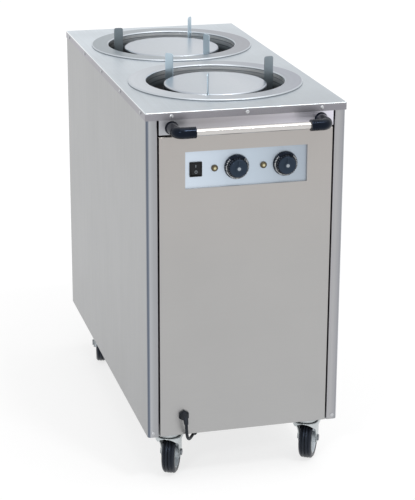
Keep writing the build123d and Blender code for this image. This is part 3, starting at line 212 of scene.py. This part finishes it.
flex_rubber = rubber("rubber_flex_sheath", "#17181A", 0.8)
route = [(x, FRONT + y, z) for x, y, z in CORD_ROUTE + coil_points()]
cord = tube("supply_cord", route, CORD_D / 2, flex_rubber)
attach(cord, "cabinet")
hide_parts("power_cord", "cord_coil")
dress(rubber("rubber_gland_and_plug", "#1B1C1E", 1.2), "cable_gland", "power_plug", "cord_clip")

# ---------------------------------------------------------------- cabinet sheets
# Stainless sheet, folded on a press and ground with a fine belt, so faint streaks run one way. The
# sides and posts are one sheet each; the front panel carries a painted sheen, a little warmer towards its
# top.


def faded(tree, place, fade):
    """A gain that runs from one value to another between two places on an axis."""
    axis, start, end, first, last = fade
    parts = add(tree, "ShaderNodeSeparateXYZ", {"Vector": place})
    return mapped(tree, parts.outputs[axis], first, last, start, end)


def graded(tree, place, base):
    """A material's own tone: one hex colour, or (axis, start, end, ((share, hex), ...)), a ramp of tones
    between two places on one axis, which here paints sheen, highlights and shade across a part."""
    if isinstance(base, str):
        plain = add(tree, "ShaderNodeRGB")
        plain.outputs["Color"].default_value = linear(base)
        return plain.outputs["Color"]
    axis, start, end, stops = base
    share = faded(tree, place, (axis, start, end, 0.0, 1.0))
    ramp = add(tree, "ShaderNodeValToRGB", {"Fac": share})
    bar = ramp.color_ramp.elements
    for count, (at, code) in enumerate(stops):
        stop = bar[count] if count < 2 else bar.new(at)
        stop.position = at
        stop.color = linear(code)
    return ramp.outputs["Color"]


def multiplied(tree, colour, *gains):
    """A colour output times one or more grey outputs, one after the other."""
    for gain in gains:
        tone = add(tree, "ShaderNodeMix", {"Factor": 1.0}, data_type="RGBA", blend_type="MULTIPLY")
        tree.links.new(colour, tone.inputs["A"])
        tree.links.new(gain, tone.inputs["B"])
        colour = tone.outputs["Result"]
    return colour


def brushed(
    name, base, along, rough=(0.32, 0.42), streak_mm=3.0, length_mm=220.0, contrast=0.05, fades=()
):
    """Belt-ground stainless steel: streaks drawn coarser than the real 0.1 mm scratches, so that they
    show, over slow clouds of handling and rolling, in colour, roughness and a shallow bump."""
    made, tree, shader = surface(name)
    place = add(tree, "ShaderNodeTexCoord").outputs["Object"]
    scale = [1000 / length_mm if axis == along else 1000 / streak_mm for axis in "XYZ"]
    drawn = add(tree, "ShaderNodeMapping", {"Vector": place, "Scale": scale})
    streaks = {"Vector": drawn.outputs["Vector"], "Scale": 1.0, "Detail": 5.0, "Roughness": 0.65}
    streaks = add(tree, "ShaderNodeTexNoise", streaks)
    clouds = {"Vector": place, "Scale": 6.0, "Detail": 3.0, "Roughness": 0.55}
    clouds = add(tree, "ShaderNodeTexNoise", clouds)
    both = {0: streaks.outputs["Fac"], 1: clouds.outputs["Fac"]}
    both = add(tree, "ShaderNodeMath", both, operation="ADD")
    gain = mapped(tree, both.outputs["Value"], 1 - contrast, 1 + contrast, 0.6, 1.4)
    gains = [gain, *[faded(tree, place, fade) for fade in fades]]
    tone = multiplied(tree, graded(tree, place, base), *gains)
    gloss = mapped(tree, streaks.outputs["Fac"], *rough, 0.3, 0.7)
    tree.links.new(tone, shader.inputs["Base Color"])
    tree.links.new(gloss, shader.inputs["Roughness"])
    tree.links.new(bumped(tree, streaks.outputs["Fac"], 0.05, 0.0005), shader.inputs["Normal"])
    shader.inputs["Metallic"].default_value = 1.0
    return made


# The bends at the front corners carry painted reflections: painted shade makes them darker than the flats
# beside them, with a painted highlight at the edge, as in the photograph.
SIDE_X, POST_IN, FRONT_RUN = 0.2235, 0.1983, 0.698
left_tones = (
    (0.0, "#A4A5A6"),
    (1.0, "#A0A1A5"),
    (0.03, "#8A8F98"),
    (0.07, "#5E6674"),
    (0.17, "#727A87"),
    (0.27, "#B2B4B8"),
    (0.6, "#A5A7AA"),
)
right_tones = (
    (0.0, "#A4A5A6"),
    (1.0, "#ABABAE"),
    (0.05, "#BFC0C3"),
    (0.14, "#96989E"),
    (0.3, "#A3A4A8"),
    (0.65, "#AEAEB0"),
)
left_sheet = ("X", -SIDE_X, -POST_IN, left_tones)
right_sheet = ("X", SIDE_X, POST_IN, right_tones)
dress(brushed("stainless_left_side_sheet", left_sheet, "Z"), "side_panel_left")
dress(brushed("stainless_right_side_sheet", right_sheet, "Z"), "side_panel_right")
# A painted sheen makes the front panel a little lighter and warmer towards its top.
front_tones = ((0.0, "#AEAEAE"), (1.0, "#B3AFAC"), (0.55, "#B0AFAE"))
front_sheet = ("Z", BASE, BASE + FRONT_RUN, front_tones)
dress(brushed("stainless_front_sheet", front_sheet, "X", contrast=0.03), "front_panel")
# The header's tone is a painted sheen, lighter and bluer towards the right.
header_tones = ((0.0, "#B1B3B8"), (1.0, "#E2E0EB"), (0.25, "#B5B3B7"), (0.6, "#CAC8CF"))
header_sheet = ("X", -POST_IN, POST_IN, header_tones)
dress(brushed("stainless_header_sheet", header_sheet, "X"), "front_header")
dress(brushed("stainless_back_and_base_sheet", "#A6A7A8", "X"), "rear_panel", "base_pan")

# ---------------------------------------------------------------- deck and rings
# The deck is one sheet with a lip turned down over the walls; each well has a spun ring on it, ground
# in circles, with a collar that hangs into the well. The lip is toned darker, like the wall under it,
# and the bend between them carries a painted highlight, a bright line.
DECK, BEND = 0.875, 0.006
# Two gains paint a sheen that lifts the deck towards its rear and a little towards its left, as in the
# photograph.
DECK_SHEEN = (("Y", FRONT + 0.15, FRONT + 0.93, 1.0, 1.22), ("X", -0.2, 0.2, 1.05, 0.98))
deck_tones = (
    (0.0, "#929197"),
    (1.0, "#B9C0C6"),
    (0.7, "#9A999E"),
    (0.8, "#DDE3E6"),
    (0.97, "#E4E9EC"),
)
deck_sheet = ("Z", DECK - BEND, DECK, deck_tones)
dress(brushed("stainless_deck_sheet", deck_sheet, "Y", contrast=0.13, fades=DECK_SHEEN), "top_deck")
COLLAR_H, RING_H, RING_FACE = 0.03, 0.0045, 0.0042
WAVE = 20  # radians that a Wave texture runs through in a metre at a scale of 1


def spun(name, base, centre_y, rough=(0.25, 0.36), radian_mm=2.4, contrast=0.03, collar=None):
    """Stainless steel ground while it spins: rings of tone about the well's axis, from a Wave texture of
    the distance to it, broken up by noise. They lie 2 pi radians of the wave apart, about 15 mm, coarser
    than real grinding, so that they show. The base tone across the cart is a painted sheen. A collar
    below the deck has tones of its own in bands by height, painted highlights and painted shade on its
    turned steps, and painted shade makes it darker at the left, as in the photograph."""
    made, tree, shader = surface(name)
    place = add(tree, "ShaderNodeTexCoord").outputs["Object"]
    centred = add(tree, "ShaderNodeMapping", {"Vector": place, "Location": (0, -centre_y, 0)})
    rings = {"Vector": centred.outputs["Vector"], "Scale": 1000 / radian_mm / WAVE}
    rings |= {"Distortion": 1.0, "Detail": 2.0, "Detail Scale": 2.0}
    rings = add(tree, "ShaderNodeTexWave", rings, wave_type="RINGS", rings_direction="Z")
    clouds = add(tree, "ShaderNodeTexNoise", {"Vector": place, "Scale": 7.0, "Detail": 3.0})
    both = {0: rings.outputs["Fac"], 1: 0.3, 2: clouds.outputs["Fac"]}
    both = add(tree, "ShaderNodeMath", both, operation="MULTIPLY_ADD")
    gain = mapped(tree, both.outputs["Value"], 1 - contrast, 1 + contrast, 0.3, 1.0)
    tone = multiplied(tree, graded(tree, place, base), gain)
    if collar:
        steps = graded(tree, place, ("Z", DECK - COLLAR_H, DECK + RING_H, collar))
        # Painted shade darkens the collar towards the left.
        shaded = multiplied(tree, steps, faded(tree, place, ("X", -0.15, -0.07, 0.2, 1.0)))
        above = faded(tree, place, ("Z", DECK - 0.001, DECK, 0.0, 1.0))
        rim = add(tree, "ShaderNodeMix", {"Factor": above}, data_type="RGBA")
        tree.links.new(shaded, rim.inputs["A"])
        tree.links.new(steps, rim.inputs["B"])
        height = add(tree, "ShaderNodeSeparateXYZ", {"Vector": place}).outputs["Z"]
        face = {0: height, 1: DECK + RING_FACE}
        face = add(tree, "ShaderNodeMath", face, operation="GREATER_THAN")
        turned = add(tree, "ShaderNodeMix", {"Factor": face.outputs["Value"]}, data_type="RGBA")
        tree.links.new(rim.outputs["Result"], turned.inputs["A"])
        tree.links.new(tone, turned.inputs["B"])
        tone = turned.outputs["Result"]
    tree.links.new(tone, shader.inputs["Base Color"])
    tree.links.new(mapped(tree, clouds.outputs["Fac"], *rough), shader.inputs["Roughness"])
    tree.links.new(bumped(tree, rings.outputs["Fac"], 0.03, 0.0003), shader.inputs["Normal"])
    shader.inputs["Metallic"].default_value = 1.0
    return made


# The collar's tones are bands of painted highlight and painted shade on its turned steps and the ring's
# inner edge, by height.
collar_tones = (
    (0.0, "#8F979D"),
    (1.0, "#BFC5CB"),
    (0.26, "#C9D0D5"),
    (0.31, "#8A9299"),
    (0.38, "#DFE5E9"),
    (0.58, "#F3F6F8"),
    (0.63, "#A9B1B8"),
    (0.69, "#FAFBFC"),
    (0.85, "#EEF2F4"),
    (0.872, "#6F767C"),
    (0.905, "#7E858B"),
    (0.93, "#C6CCD2"),
)
# Each ring's tone across the cart is a painted sheen, lighter at the left on the front ring.
ring_tones = {
    "front": ((0.0, "#C6CBD1"), (1.0, "#A2A6B0"), (0.5, "#B1B6BB")),
    "back": ((0.0, "#9DA5AB"), (1.0, "#A0A2A9"), (0.5, "#A6ACB1")),
}
for side, centre in (("front", WELL_FRONT_Y), ("back", WELL_BACK_Y)):
    base = ("X", -0.2, 0.2, ring_tones[side])
    ring = spun(f"stainless_spun_ring_{side}", base, centre, (0.36, 0.48), collar=collar_tones)
    dress(ring, f"ring_{side}")

# ---------------------------------------------------------------- wells and platforms
# Each liner is a rolled drum of duller sheet; the platform is a spun disc on a carrier whose arms
# reach out through the drum to the lift springs.
# The platform's tone across the cart is a painted sheen, lightest right of its middle.
platform_tones = ((0.0, "#B2B8C0"), (1.0, "#B5BCC5"), (0.35, "#B9C0C7"), (0.7, "#C0C6CD"))
PLATFORM_R = 0.118
for side, centre in (("front", WELL_FRONT_Y), ("back", WELL_BACK_Y)):
    base = ("X", -PLATFORM_R, PLATFORM_R, platform_tones)
    dress(spun(f"stainless_platform_{side}", base, centre, contrast=0.02), f"platform_{side}")
    dress(brushed(f"stainless_drum_{side}", "#8E9092", "Z", rough=(0.4, 0.5)), f"well_{side}")
    dress(brushed(f"stainless_carrier_{side}", "#9A9C9E", "Z", rough=(0.4, 0.5)), f"carrier_{side}")

# ---------------------------------------------------------------- plate guides
# Three strips of stainless flat stand on edge round each platform, from the liner's foot to above the
# deck. Each is bolted to a small angle on the liner, and a painted sheen runs across the cart on the
# strips, from light to dark.
guide_tones = ((0.0, "#C3D5E0"), (1.0, "#8F999F"))
guide_spans = {"front": (-0.1, 0.12), "back": (0.09, -0.11)}
for side, span in guide_spans.items():
    strip = brushed(f"stainless_guide_strip_{side}", ("X", *span, guide_tones), "Z", streak_mm=2.0)
    dress(strip, f"plate_guides_{side}")
dress(brushed("stainless_guide_angle", "#A5A8AA", "X"), "guide_brackets")

# ---------------------------------------------------------------- lift springs
# Extension springs of drawn steel wire hang outside each drum, one for each arm of the carrier. Here
# they are plain tubes, and bands across them stand for the turns, coarser than real ones.


def wound(name, code, radian_mm):
    """Drawn spring wire: a band across the spring every 2 pi radians of the wave, rounded in the bump."""
    made, tree, shader = surface(name)
    place = add(tree, "ShaderNodeTexCoord").outputs["Object"]
    turns = {"Vector": place, "Scale": 1000 / radian_mm / WAVE}
    turns = add(tree, "ShaderNodeTexWave", turns, bands_direction="Z")
    tone = add(tree, "ShaderNodeMix", {"Factor": turns.outputs["Fac"]}, data_type="RGBA")
    tone.inputs["A"].default_value = linear("#2B2B2C")
    tone.inputs["B"].default_value = linear(code)
    tree.links.new(tone.outputs["Result"], shader.inputs["Base Color"])
    tree.links.new(bumped(tree, turns.outputs["Fac"], 0.8, 0.0008), shader.inputs["Normal"])
    shader.inputs["Metallic"].default_value = 1.0
    shader.inputs["Roughness"].default_value = 0.35
    return made


dress(wound("spring_wire", "#8A8B8D", 1.6), "springs_front", "springs_back")

# ---------------------------------------------------------------- heating elements
# A tubular ring under each well, on two legs and a foot plate, warms the plates from below. Its steel
# sheath is browned and dulled by heat.
sheath = brushed("heat_stained_sheath", "#5B5048", "X", rough=(0.45, 0.6), contrast=0.25)
dress(sheath, "heating_elements")

# ---------------------------------------------------------------- control plate
# A pale satin metal plate behind the front panel's cut-out carries a black rocker switch of moulded
# nylon, two lamps and two thermostats with their knobs.
CUTOUT_X, CONTROL_Z = 0.1375, 0.7442
# The plate's tone is a painted sheen: lighter at its left, darker at its right.
plate_tones = ((0.0, "#D3DEEA"), (1.0, "#AAB4BF"), (0.55, "#BFCBD7"), (0.85, "#B3BEC9"))
satin = ("X", -CUTOUT_X, CUTOUT_X, plate_tones)
dress(brushed("satin_control_plate", satin, "X", rough=(0.42, 0.5), contrast=0.02), "control_plate")


def moulded(name, base, rough=0.3, grain_mm=1.0, dent=0.05, gloss_level=0.5, cast="#FFFFFF"):
    """Moulded plastic: a fine skin grain in the bump and slow changes of gloss and, where it has a base
    tone, of that. The cast tints what it mirrors, for the photograph's blue-black."""
    made, tree, shader = surface(name)
    place = add(tree, "ShaderNodeTexCoord").outputs["Object"]
    grain = add(tree, "ShaderNodeTexNoise", {"Vector": place, "Scale": 1000 / grain_mm, "Detail": 2.0})
    patches = add(tree, "ShaderNodeTexNoise", {"Vector": place, "Scale": 40.0, "Detail": 2.0})
    if base:
        shades = mapped(tree, patches.outputs["Fac"], 0.9, 1.1)
        tone = multiplied(tree, graded(tree, place, base), shades)
        tree.links.new(tone, shader.inputs["Base Color"])
    gloss = mapped(tree, patches.outputs["Fac"], rough * 0.8, rough * 1.2)
    tree.links.new(gloss, shader.inputs["Roughness"])
    tree.links.new(bumped(tree, grain.outputs["Fac"], dent, 0.0003), shader.inputs["Normal"])
    shader.inputs["Specular IOR Level"].default_value = gloss_level
    shader.inputs["Specular Tint"].default_value = linear(cast)
    return made


dress(moulded("nylon_switch", "#0B0D11", 0.3, gloss_level=0.3), "switch_housing", "switch_rocker")
dress(moulded("brown_lamp_ring", "#4B422C", 0.3), "lamp_bezels")
LAMP_X, LAMP_STEP = -0.071, 0.11
PALE_R, BROWN_R = 0.0016, 0.0036


def lamp_lens(name, centre, rim):
    """Clear amber plastic over a lamp: pale in the middle, a painted glow where the lamp behind it shines
    through, and brown at the rim, by the distance to the nearer lamp's axis, as the two stand LAMP_STEP
    apart."""
    made = moulded(name, None, 0.15)
    tree, shader = made.node_tree, made.node_tree.nodes["Principled BSDF"]
    place = add(tree, "ShaderNodeTexCoord").outputs["Object"]
    parts = add(tree, "ShaderNodeSeparateXYZ", {"Vector": place})
    folded = {0: parts.outputs["X"], 1: LAMP_X - LAMP_STEP / 2, 2: LAMP_X + LAMP_STEP / 2}
    folded = add(tree, "ShaderNodeMath", folded, operation="WRAP")
    x = add(tree, "ShaderNodeMath", {0: folded.outputs["Value"], 1: LAMP_X}, operation="SUBTRACT")
    z = add(tree, "ShaderNodeMath", {0: parts.outputs["Z"], 1: CONTROL_Z}, operation="SUBTRACT")
    both = add(tree, "ShaderNodeCombineXYZ", {"X": x.outputs["Value"], "Y": z.outputs["Value"]})
    reach = add(tree, "ShaderNodeVectorMath", {0: both.outputs["Vector"]}, operation="LENGTH")
    browned = mapped(tree, reach.outputs["Value"], 0.0, 1.0, PALE_R, BROWN_R)
    tone = add(tree, "ShaderNodeMix", {"Factor": browned}, data_type="RGBA")
    tone.inputs["A"].default_value = linear(centre)
    tone.inputs["B"].default_value = linear(rim)
    tree.links.new(tone.outputs["Result"], shader.inputs["Base Color"])
    return made


dress(lamp_lens("amber_lamp_lens", "#E2DAB0", "#665A3A"), "lamp_lenses")
dress(moulded("phenolic_thermostat", "#3A2B22", 0.4), "thermostat_left", "thermostat_right")

# ---------------------------------------------------------------- knobs
# Gloss black phenolic knobs: a dial skirt with white numbers and ticks round a raised drum and grip.
# A painted sheen makes the front of the drum a dark grey; the skirt and the flutes stay black.
KNOB_FRONT, KNOB_REAR = -0.4517, -0.4305
knob_tones = ((0.0, "#2F3944"), (1.0, "#070A10"), (0.16, "#26303B"), (0.24, "#0A0E15"))
phenolic = ("Y", KNOB_FRONT, KNOB_REAR, knob_tones)
knob_black = moulded("phenolic_knob", phenolic, 0.18, gloss_level=0.4, cast="#A3B9E0")
dress(knob_black, "knob_left", "knob_right")

# The dial is printed in white on the skirt, and the rocker has its I and O. Ink is 0.1 mm thick. It
# starts about 0.1 mm in front of the skirt, and 0.02 mm in front of the rocker's face.
KNOBS = {"left": -0.0215, "right": 0.0885}
SKIRT_Y, SKIRT_MID, SKIRT_LEAN = -0.4364, 0.0245, math.atan2(1.5, 4.0)
INK, CLEAR = 0.0001, 0.00002


def block(wide, high, thick=INK):
    """A flat box of ink about the origin: corners at plus and minus half its width and height."""
    outline = ((-1, -1), (1, -1), (1, 1), (-1, 1))
    corners = np.array([(x, y, z) for z in (0, 1) for x, y in outline], float)
    corners = corners * (wide / 2, high / 2, thick)
    sides = [(i, (i + 1) % 4, (i + 1) % 4 + 4, i + 4) for i in range(4)]
    return corners, [(3, 2, 1, 0), (4, 5, 6, 7), *sides]


def figure(words, high):
    """Figures cut from Blender's own plain typeface, as points and faces about their middle."""
    letters = bpy.data.curves.new("figure", "FONT")
    letters.body, letters.size = words, high * 1.4
    letters.extrude, letters.resolution_u = INK / 2, 2
    letters.align_x, letters.align_y = "CENTER", "CENTER"
    holder = bpy.data.objects.new("figure", letters)
    bpy.context.scene.collection.objects.link(holder)
    drawn = holder.evaluated_get(bpy.context.evaluated_depsgraph_get())
    cut = bpy.data.meshes.new_from_object(drawn)
    points = np.empty(len(cut.vertices) * 3)
    cut.vertices.foreach_get("co", points)
    faces = [tuple(f.vertices) for f in cut.polygons]
    bpy.data.objects.remove(holder)
    bpy.data.curves.remove(letters)
    bpy.data.meshes.remove(cut)
    return points.reshape(-1, 3) + (0, 0, INK / 2), faces


def ring_of_ink(outer, inner, count=28):
    """A flat ring: circles (r cos t, r sin t) of the outer and the inner radius at each of two heights,
    joined all round by four bands of faces."""
    angles = np.arange(count) * 2 * math.pi / count
    circle = np.stack([np.cos(angles), np.sin(angles), 0 * angles], 1)
    low = np.concatenate([circle * outer, circle * inner])
    points = np.concatenate([low, low + (0, 0, INK)])
    here = np.arange(count)
    a, b, c, d = (here + k * count for k in range(4))
    e, f, g, h = ((here + 1) % count + k * count for k in range(4))
    bands = ((a, b, f, e), (c, g, h, d), (a, e, g, c), (b, d, h, f))
    faces = np.stack([np.stack(band, 1) for band in bands], 1).reshape(-1, 4)
    return points, faces.tolist()


def printed(name, body, marks, material):
    """Joins marks into one mesh: each is (points, faces, origin, its X, its Y, its normal)."""
    points, faces = [], []
    for shape, sides, origin, across, up, out in marks:
        base = sum(len(p) for p in points)
        points.append(np.array(origin) + shape @ np.array([across, up, out]))
        faces += [tuple(base + i for i in side) for side in sides]
    mesh = bpy.data.meshes.new(name)
    mesh.from_pydata(np.concatenate(points).tolist(), [], faces)
    mesh.materials.append(material)
    made = bpy.data.objects.new(name, mesh)
    bpy.context.scene.collection.objects.link(made)
    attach(made, body)


white_ink = moulded("white_dial_ink", "#F4F7F9", 0.4, grain_mm=0.4)
grey_ink = moulded("grey_switch_ink", "#8C949B", 0.4, grain_mm=0.4)
TICKS, TICK_START, TICK_SPAN = 37, 45.0, 270.0
NUMBER_EVERY, NUMBER_FIRST_TICK, NUMBER_LOW, NUMBER_STEP = 4, 2, 30, 10
for side, x in KNOBS.items():
    marks = []
    for i in range(TICKS):
        angle = math.radians(TICK_START + TICK_SPAN * i / (TICKS - 1))
        outward = np.array([math.sin(angle), 0.0, math.cos(angle)])
        across = np.array([math.cos(angle), 0.0, -math.sin(angle)])
        up = outward * math.cos(SKIRT_LEAN) + np.array([0.0, 1.0, 0.0]) * math.sin(SKIRT_LEAN)
        out = np.cross(across, up)
        middle = np.array([x, SKIRT_Y, CONTROL_Z]) + out * CLEAR
        if i % NUMBER_EVERY == NUMBER_FIRST_TICK:
            shape = figure(str(NUMBER_LOW + NUMBER_STEP * (i // NUMBER_EVERY)), 0.0030)
        else:
            shape = block(0.0009, 0.0028)
        marks.append((*shape, middle + outward * SKIRT_MID, across, up, out))
    printed(f"knob_print_{side}", f"knob_{side}", marks, white_ink)

# A turned aluminium disc is set in the middle of each knob's cap; its pale metal also stands in for a
# glint there, as a painted highlight.
# Its middle stands four inks proud of its edge, so that it catches the light as a shallow cone.
aluminium = brushed(
    "turned_aluminium_inlay", "#9EA6AE", "X", rough=(0.25, 0.35), streak_mm=1.0, length_mm=8.0
)
CAP_Y, INLAY_R = -0.45155, 0.0038
for side, x in KNOBS.items():
    points, faces = ring_of_ink(INLAY_R, INLAY_R * 0.02, 40)
    lifted = np.where(np.hypot(points[:, 0], points[:, 1]) < INLAY_R / 2, 4 * INK, 0.0)
    points = points + np.outer(lifted, (0, 0, 1))
    mark = (points, faces, (x, CAP_Y, CONTROL_Z), (1, 0, 0), (0, 0, 1), (0, -1, 0))
    printed(f"knob_inlay_{side}", f"knob_{side}", [mark], aluminium)

# The rocker leans on its pin, and each half of its face slopes in to the middle: by 2.4 mm in 12.4 mm,
# which is 12.63 mm on the slope. A mark lies at the middle of each half.
ROCKER_X, ROCKER_Y, ROCKER_LEAN = -0.113, -0.42735, math.radians(10.0)
MARK_OUT, MARK_UP = 0.0048 + CLEAR, 0.0062
SLOPE_IN, SLOPE_ALONG = 2.4 / 12.63, 12.4 / 12.63
forward = np.array([0.0, -math.cos(ROCKER_LEAN), math.sin(ROCKER_LEAN)])
along = np.array([0.0, math.sin(ROCKER_LEAN), math.cos(ROCKER_LEAN)])
pivot = np.array([ROCKER_X, ROCKER_Y, CONTROL_Z])
marks = []
for sign, shape in ((1, block(0.0012, 0.006)), (-1, ring_of_ink(0.0031, 0.0021))):
    middle = pivot + forward * MARK_OUT + along * sign * MARK_UP
    up = forward * sign * SLOPE_IN + along * SLOPE_ALONG
    out = forward * SLOPE_ALONG - along * sign * SLOPE_IN
    marks.append((*shape, middle, np.cross(up, out), up, out))
printed("rocker_print", "rocker", marks, grey_ink)

# ---------------------------------------------------------------- push handle
# A polished stainless tube is held by two glossy black elbows of moulded nylon, which are screwed on
# from inside the header.


def polished(name, code, rough=(0.08, 0.16)):
    """Buffed stainless or plated steel: nearly mirror bright, with slow waves of gloss."""
    made, tree, shader = surface(name)
    place = add(tree, "ShaderNodeTexCoord").outputs["Object"]
    waves = add(tree, "ShaderNodeTexNoise", {"Vector": place, "Scale": 60.0, "Detail": 3.0})
    tone = add(tree, "ShaderNodeMix", {"Factor": waves.outputs["Fac"]}, data_type="RGBA")
    tone.inputs["A"].default_value = linear(code)
    tone.inputs["B"].default_value = [0.92 * c for c in linear(code)[:3]] + [1.0]
    tree.links.new(tone.outputs["Result"], shader.inputs["Base Color"])
    tree.links.new(mapped(tree, waves.outputs["Fac"], *rough), shader.inputs["Roughness"])
    shader.inputs["Metallic"].default_value = 1.0
    return made


dress(polished("polished_handle_tube", "#CFCCCA", (0.16, 0.22)), "handle_tube")
dress(polished("turned_spindle", "#C9C9CA", (0.2, 0.3)), "spindle_left", "spindle_right")
elbow = moulded("nylon_elbow", "#0B0E15", 0.13, dent=0.02, gloss_level=0.3, cast="#9DB4DC")
dress(elbow, "handle_elbow_left", "handle_elbow_right")

# ---------------------------------------------------------------- casters
# Zinc-plated pressed forks turn on ball races under bolted top plates. Each carries a grey moulded hub
# with a grooved black rubber tyre, on an axle bolt.
CORNERS = ("fl", "fr", "bl", "br")
zinc = brushed(
    "zinc_plated_pressing", "#C6CCCE", "Z", rough=(0.3, 0.42), streak_mm=6.0, length_mm=12.0
)
tree = zinc.node_tree
# Painted shade darkens the zinc where two faces stand close, inside the fork and under its hood.
close = add(tree, "ShaderNodeAmbientOcclusion", {"Distance": 0.03}, samples=4)
crevice_shade = mapped(tree, close.outputs["AO"], 0.12, 1.0, 0.25, 0.8)
shader = tree.nodes["Principled BSDF"]
unshaded = shader.inputs["Base Color"].links[0].from_socket
tree.links.new(multiplied(tree, unshaded, crevice_shade), shader.inputs["Base Color"])
fixings = polished("zinc_plated_fixings", "#BFC1C4", (0.28, 0.4))
dress(zinc, "caster_plates", *[f"fork_{corner}" for corner in CORNERS])
dress(moulded("grey_nylon_hub", "#CFD6DB", 0.4), *[f"hub_{corner}" for corner in CORNERS])
dress(rubber("tyre_rubber", "#12161C", 1.5, (0.28, 0.42)), *[f"tyre_{corner}" for corner in CORNERS])
dress(fixings, "base_bolts", "cabinet_screws", "guide_bolts")
# The axle bolts are given a darker tone than the other fixings.
dress(polished("dark_axle_bolt", "#85898E", (0.35, 0.5)), *[f"axle_{corner}" for corner in CORNERS])

# ---------------------------------------------------------------- studio
# A white floor lies under a wide overhead light and two narrower ones from the front. Rays that look
# past the cart, or leave it as reflections, meet a white surround. What the camera sees of the floor
# is mostly its own white, so it stays white and keeps a faint soft shadow.
FLOOR_GLOW, FLOOR_SHADE, FLOOR_HALF = 0.73, 0.32, 40
floor_corners = [(x * FLOOR_HALF, y * FLOOR_HALF, 0) for x, y in ((-1, -1), (1, -1), (1, 1), (-1, 1))]
floor_mesh = bpy.data.meshes.new("studio_floor")
floor_mesh.from_pydata(floor_corners, [], [(0, 1, 2, 3)])
floor = bpy.data.objects.new("studio_floor", floor_mesh)
bpy.context.scene.collection.objects.link(floor)


def background_rays(tree):
    """1 for camera rays, reflections and refractions, which see the backdrop, and 0 for light."""
    rays = add(tree, "ShaderNodeLightPath").outputs
    seen = {0: rays["Is Camera Ray"], 1: rays["Is Glossy Ray"]}
    seen = add(tree, "ShaderNodeMath", seen, operation="MAXIMUM").outputs["Value"]
    seen = {0: seen, 1: rays["Is Transmission Ray"]}
    return add(tree, "ShaderNodeMath", seen, operation="MAXIMUM").outputs["Value"]


paper, tree, shader = surface("studio_paper")
shader.inputs["Base Color"].default_value = linear("#F4F4F4")
shader.inputs["Roughness"].default_value = 0.9
glow = add(tree, "ShaderNodeEmission", {"Color": (1, 1, 1, 1), "Strength": FLOOR_GLOW})
shaded = add(tree, "ShaderNodeBsdfDiffuse", {"Color": (*[FLOOR_SHADE] * 3, 1)})
pale = add(tree, "ShaderNodeAddShader", {0: glow.outputs["Emission"], 1: shaded.outputs["BSDF"]})
picked = {0: background_rays(tree), 1: shader.outputs["BSDF"], 2: pale.outputs["Shader"]}
picked = add(tree, "ShaderNodeMixShader", picked)
tree.links.new(picked.outputs["Shader"], tree.nodes["Material Output"].inputs["Surface"])
floor_mesh.materials.append(paper)

LIGHT, BACKDROP = 0.55, 1.0
world = bpy.data.worlds.new("studio")
bpy.context.scene.world = world
world.use_nodes = True
tree = world.node_tree
tree.nodes.clear()
plain = add(tree, "ShaderNodeBackground", {"Color": (1, 1, 1, 1), "Strength": LIGHT})
pale = add(tree, "ShaderNodeBackground", {"Color": (1, 1, 1, 1), "Strength": BACKDROP})
mixed = {0: background_rays(tree), 1: plain.outputs["Background"], 2: pale.outputs["Background"]}
mixed = add(tree, "ShaderNodeMixShader", mixed)
add(tree, "ShaderNodeOutputWorld", {"Surface": mixed.outputs["Shader"]})

for name, energy, size, aim in (
    ("overhead", 0.8, 60, (-0.25, 0.2, -1.0)),
    ("front_left", 0.45, 8, (0.8, 1.0, -0.8)),
    ("front_high", 0.45, 8, (-0.24, 0.5, -0.83)),
):
    lamp = bpy.data.lights.new(name, "SUN")
    lamp.energy = energy
    lamp.angle = math.radians(size)
    sun = bpy.data.objects.new(name, lamp)
    sun.rotation_mode = "QUATERNION"
    sun.rotation_quaternion = Vector(aim).to_track_quat("-Z", "Y")
    bpy.context.scene.collection.objects.link(sun)
bpy.context.scene.view_settings.view_transform = "Standard"
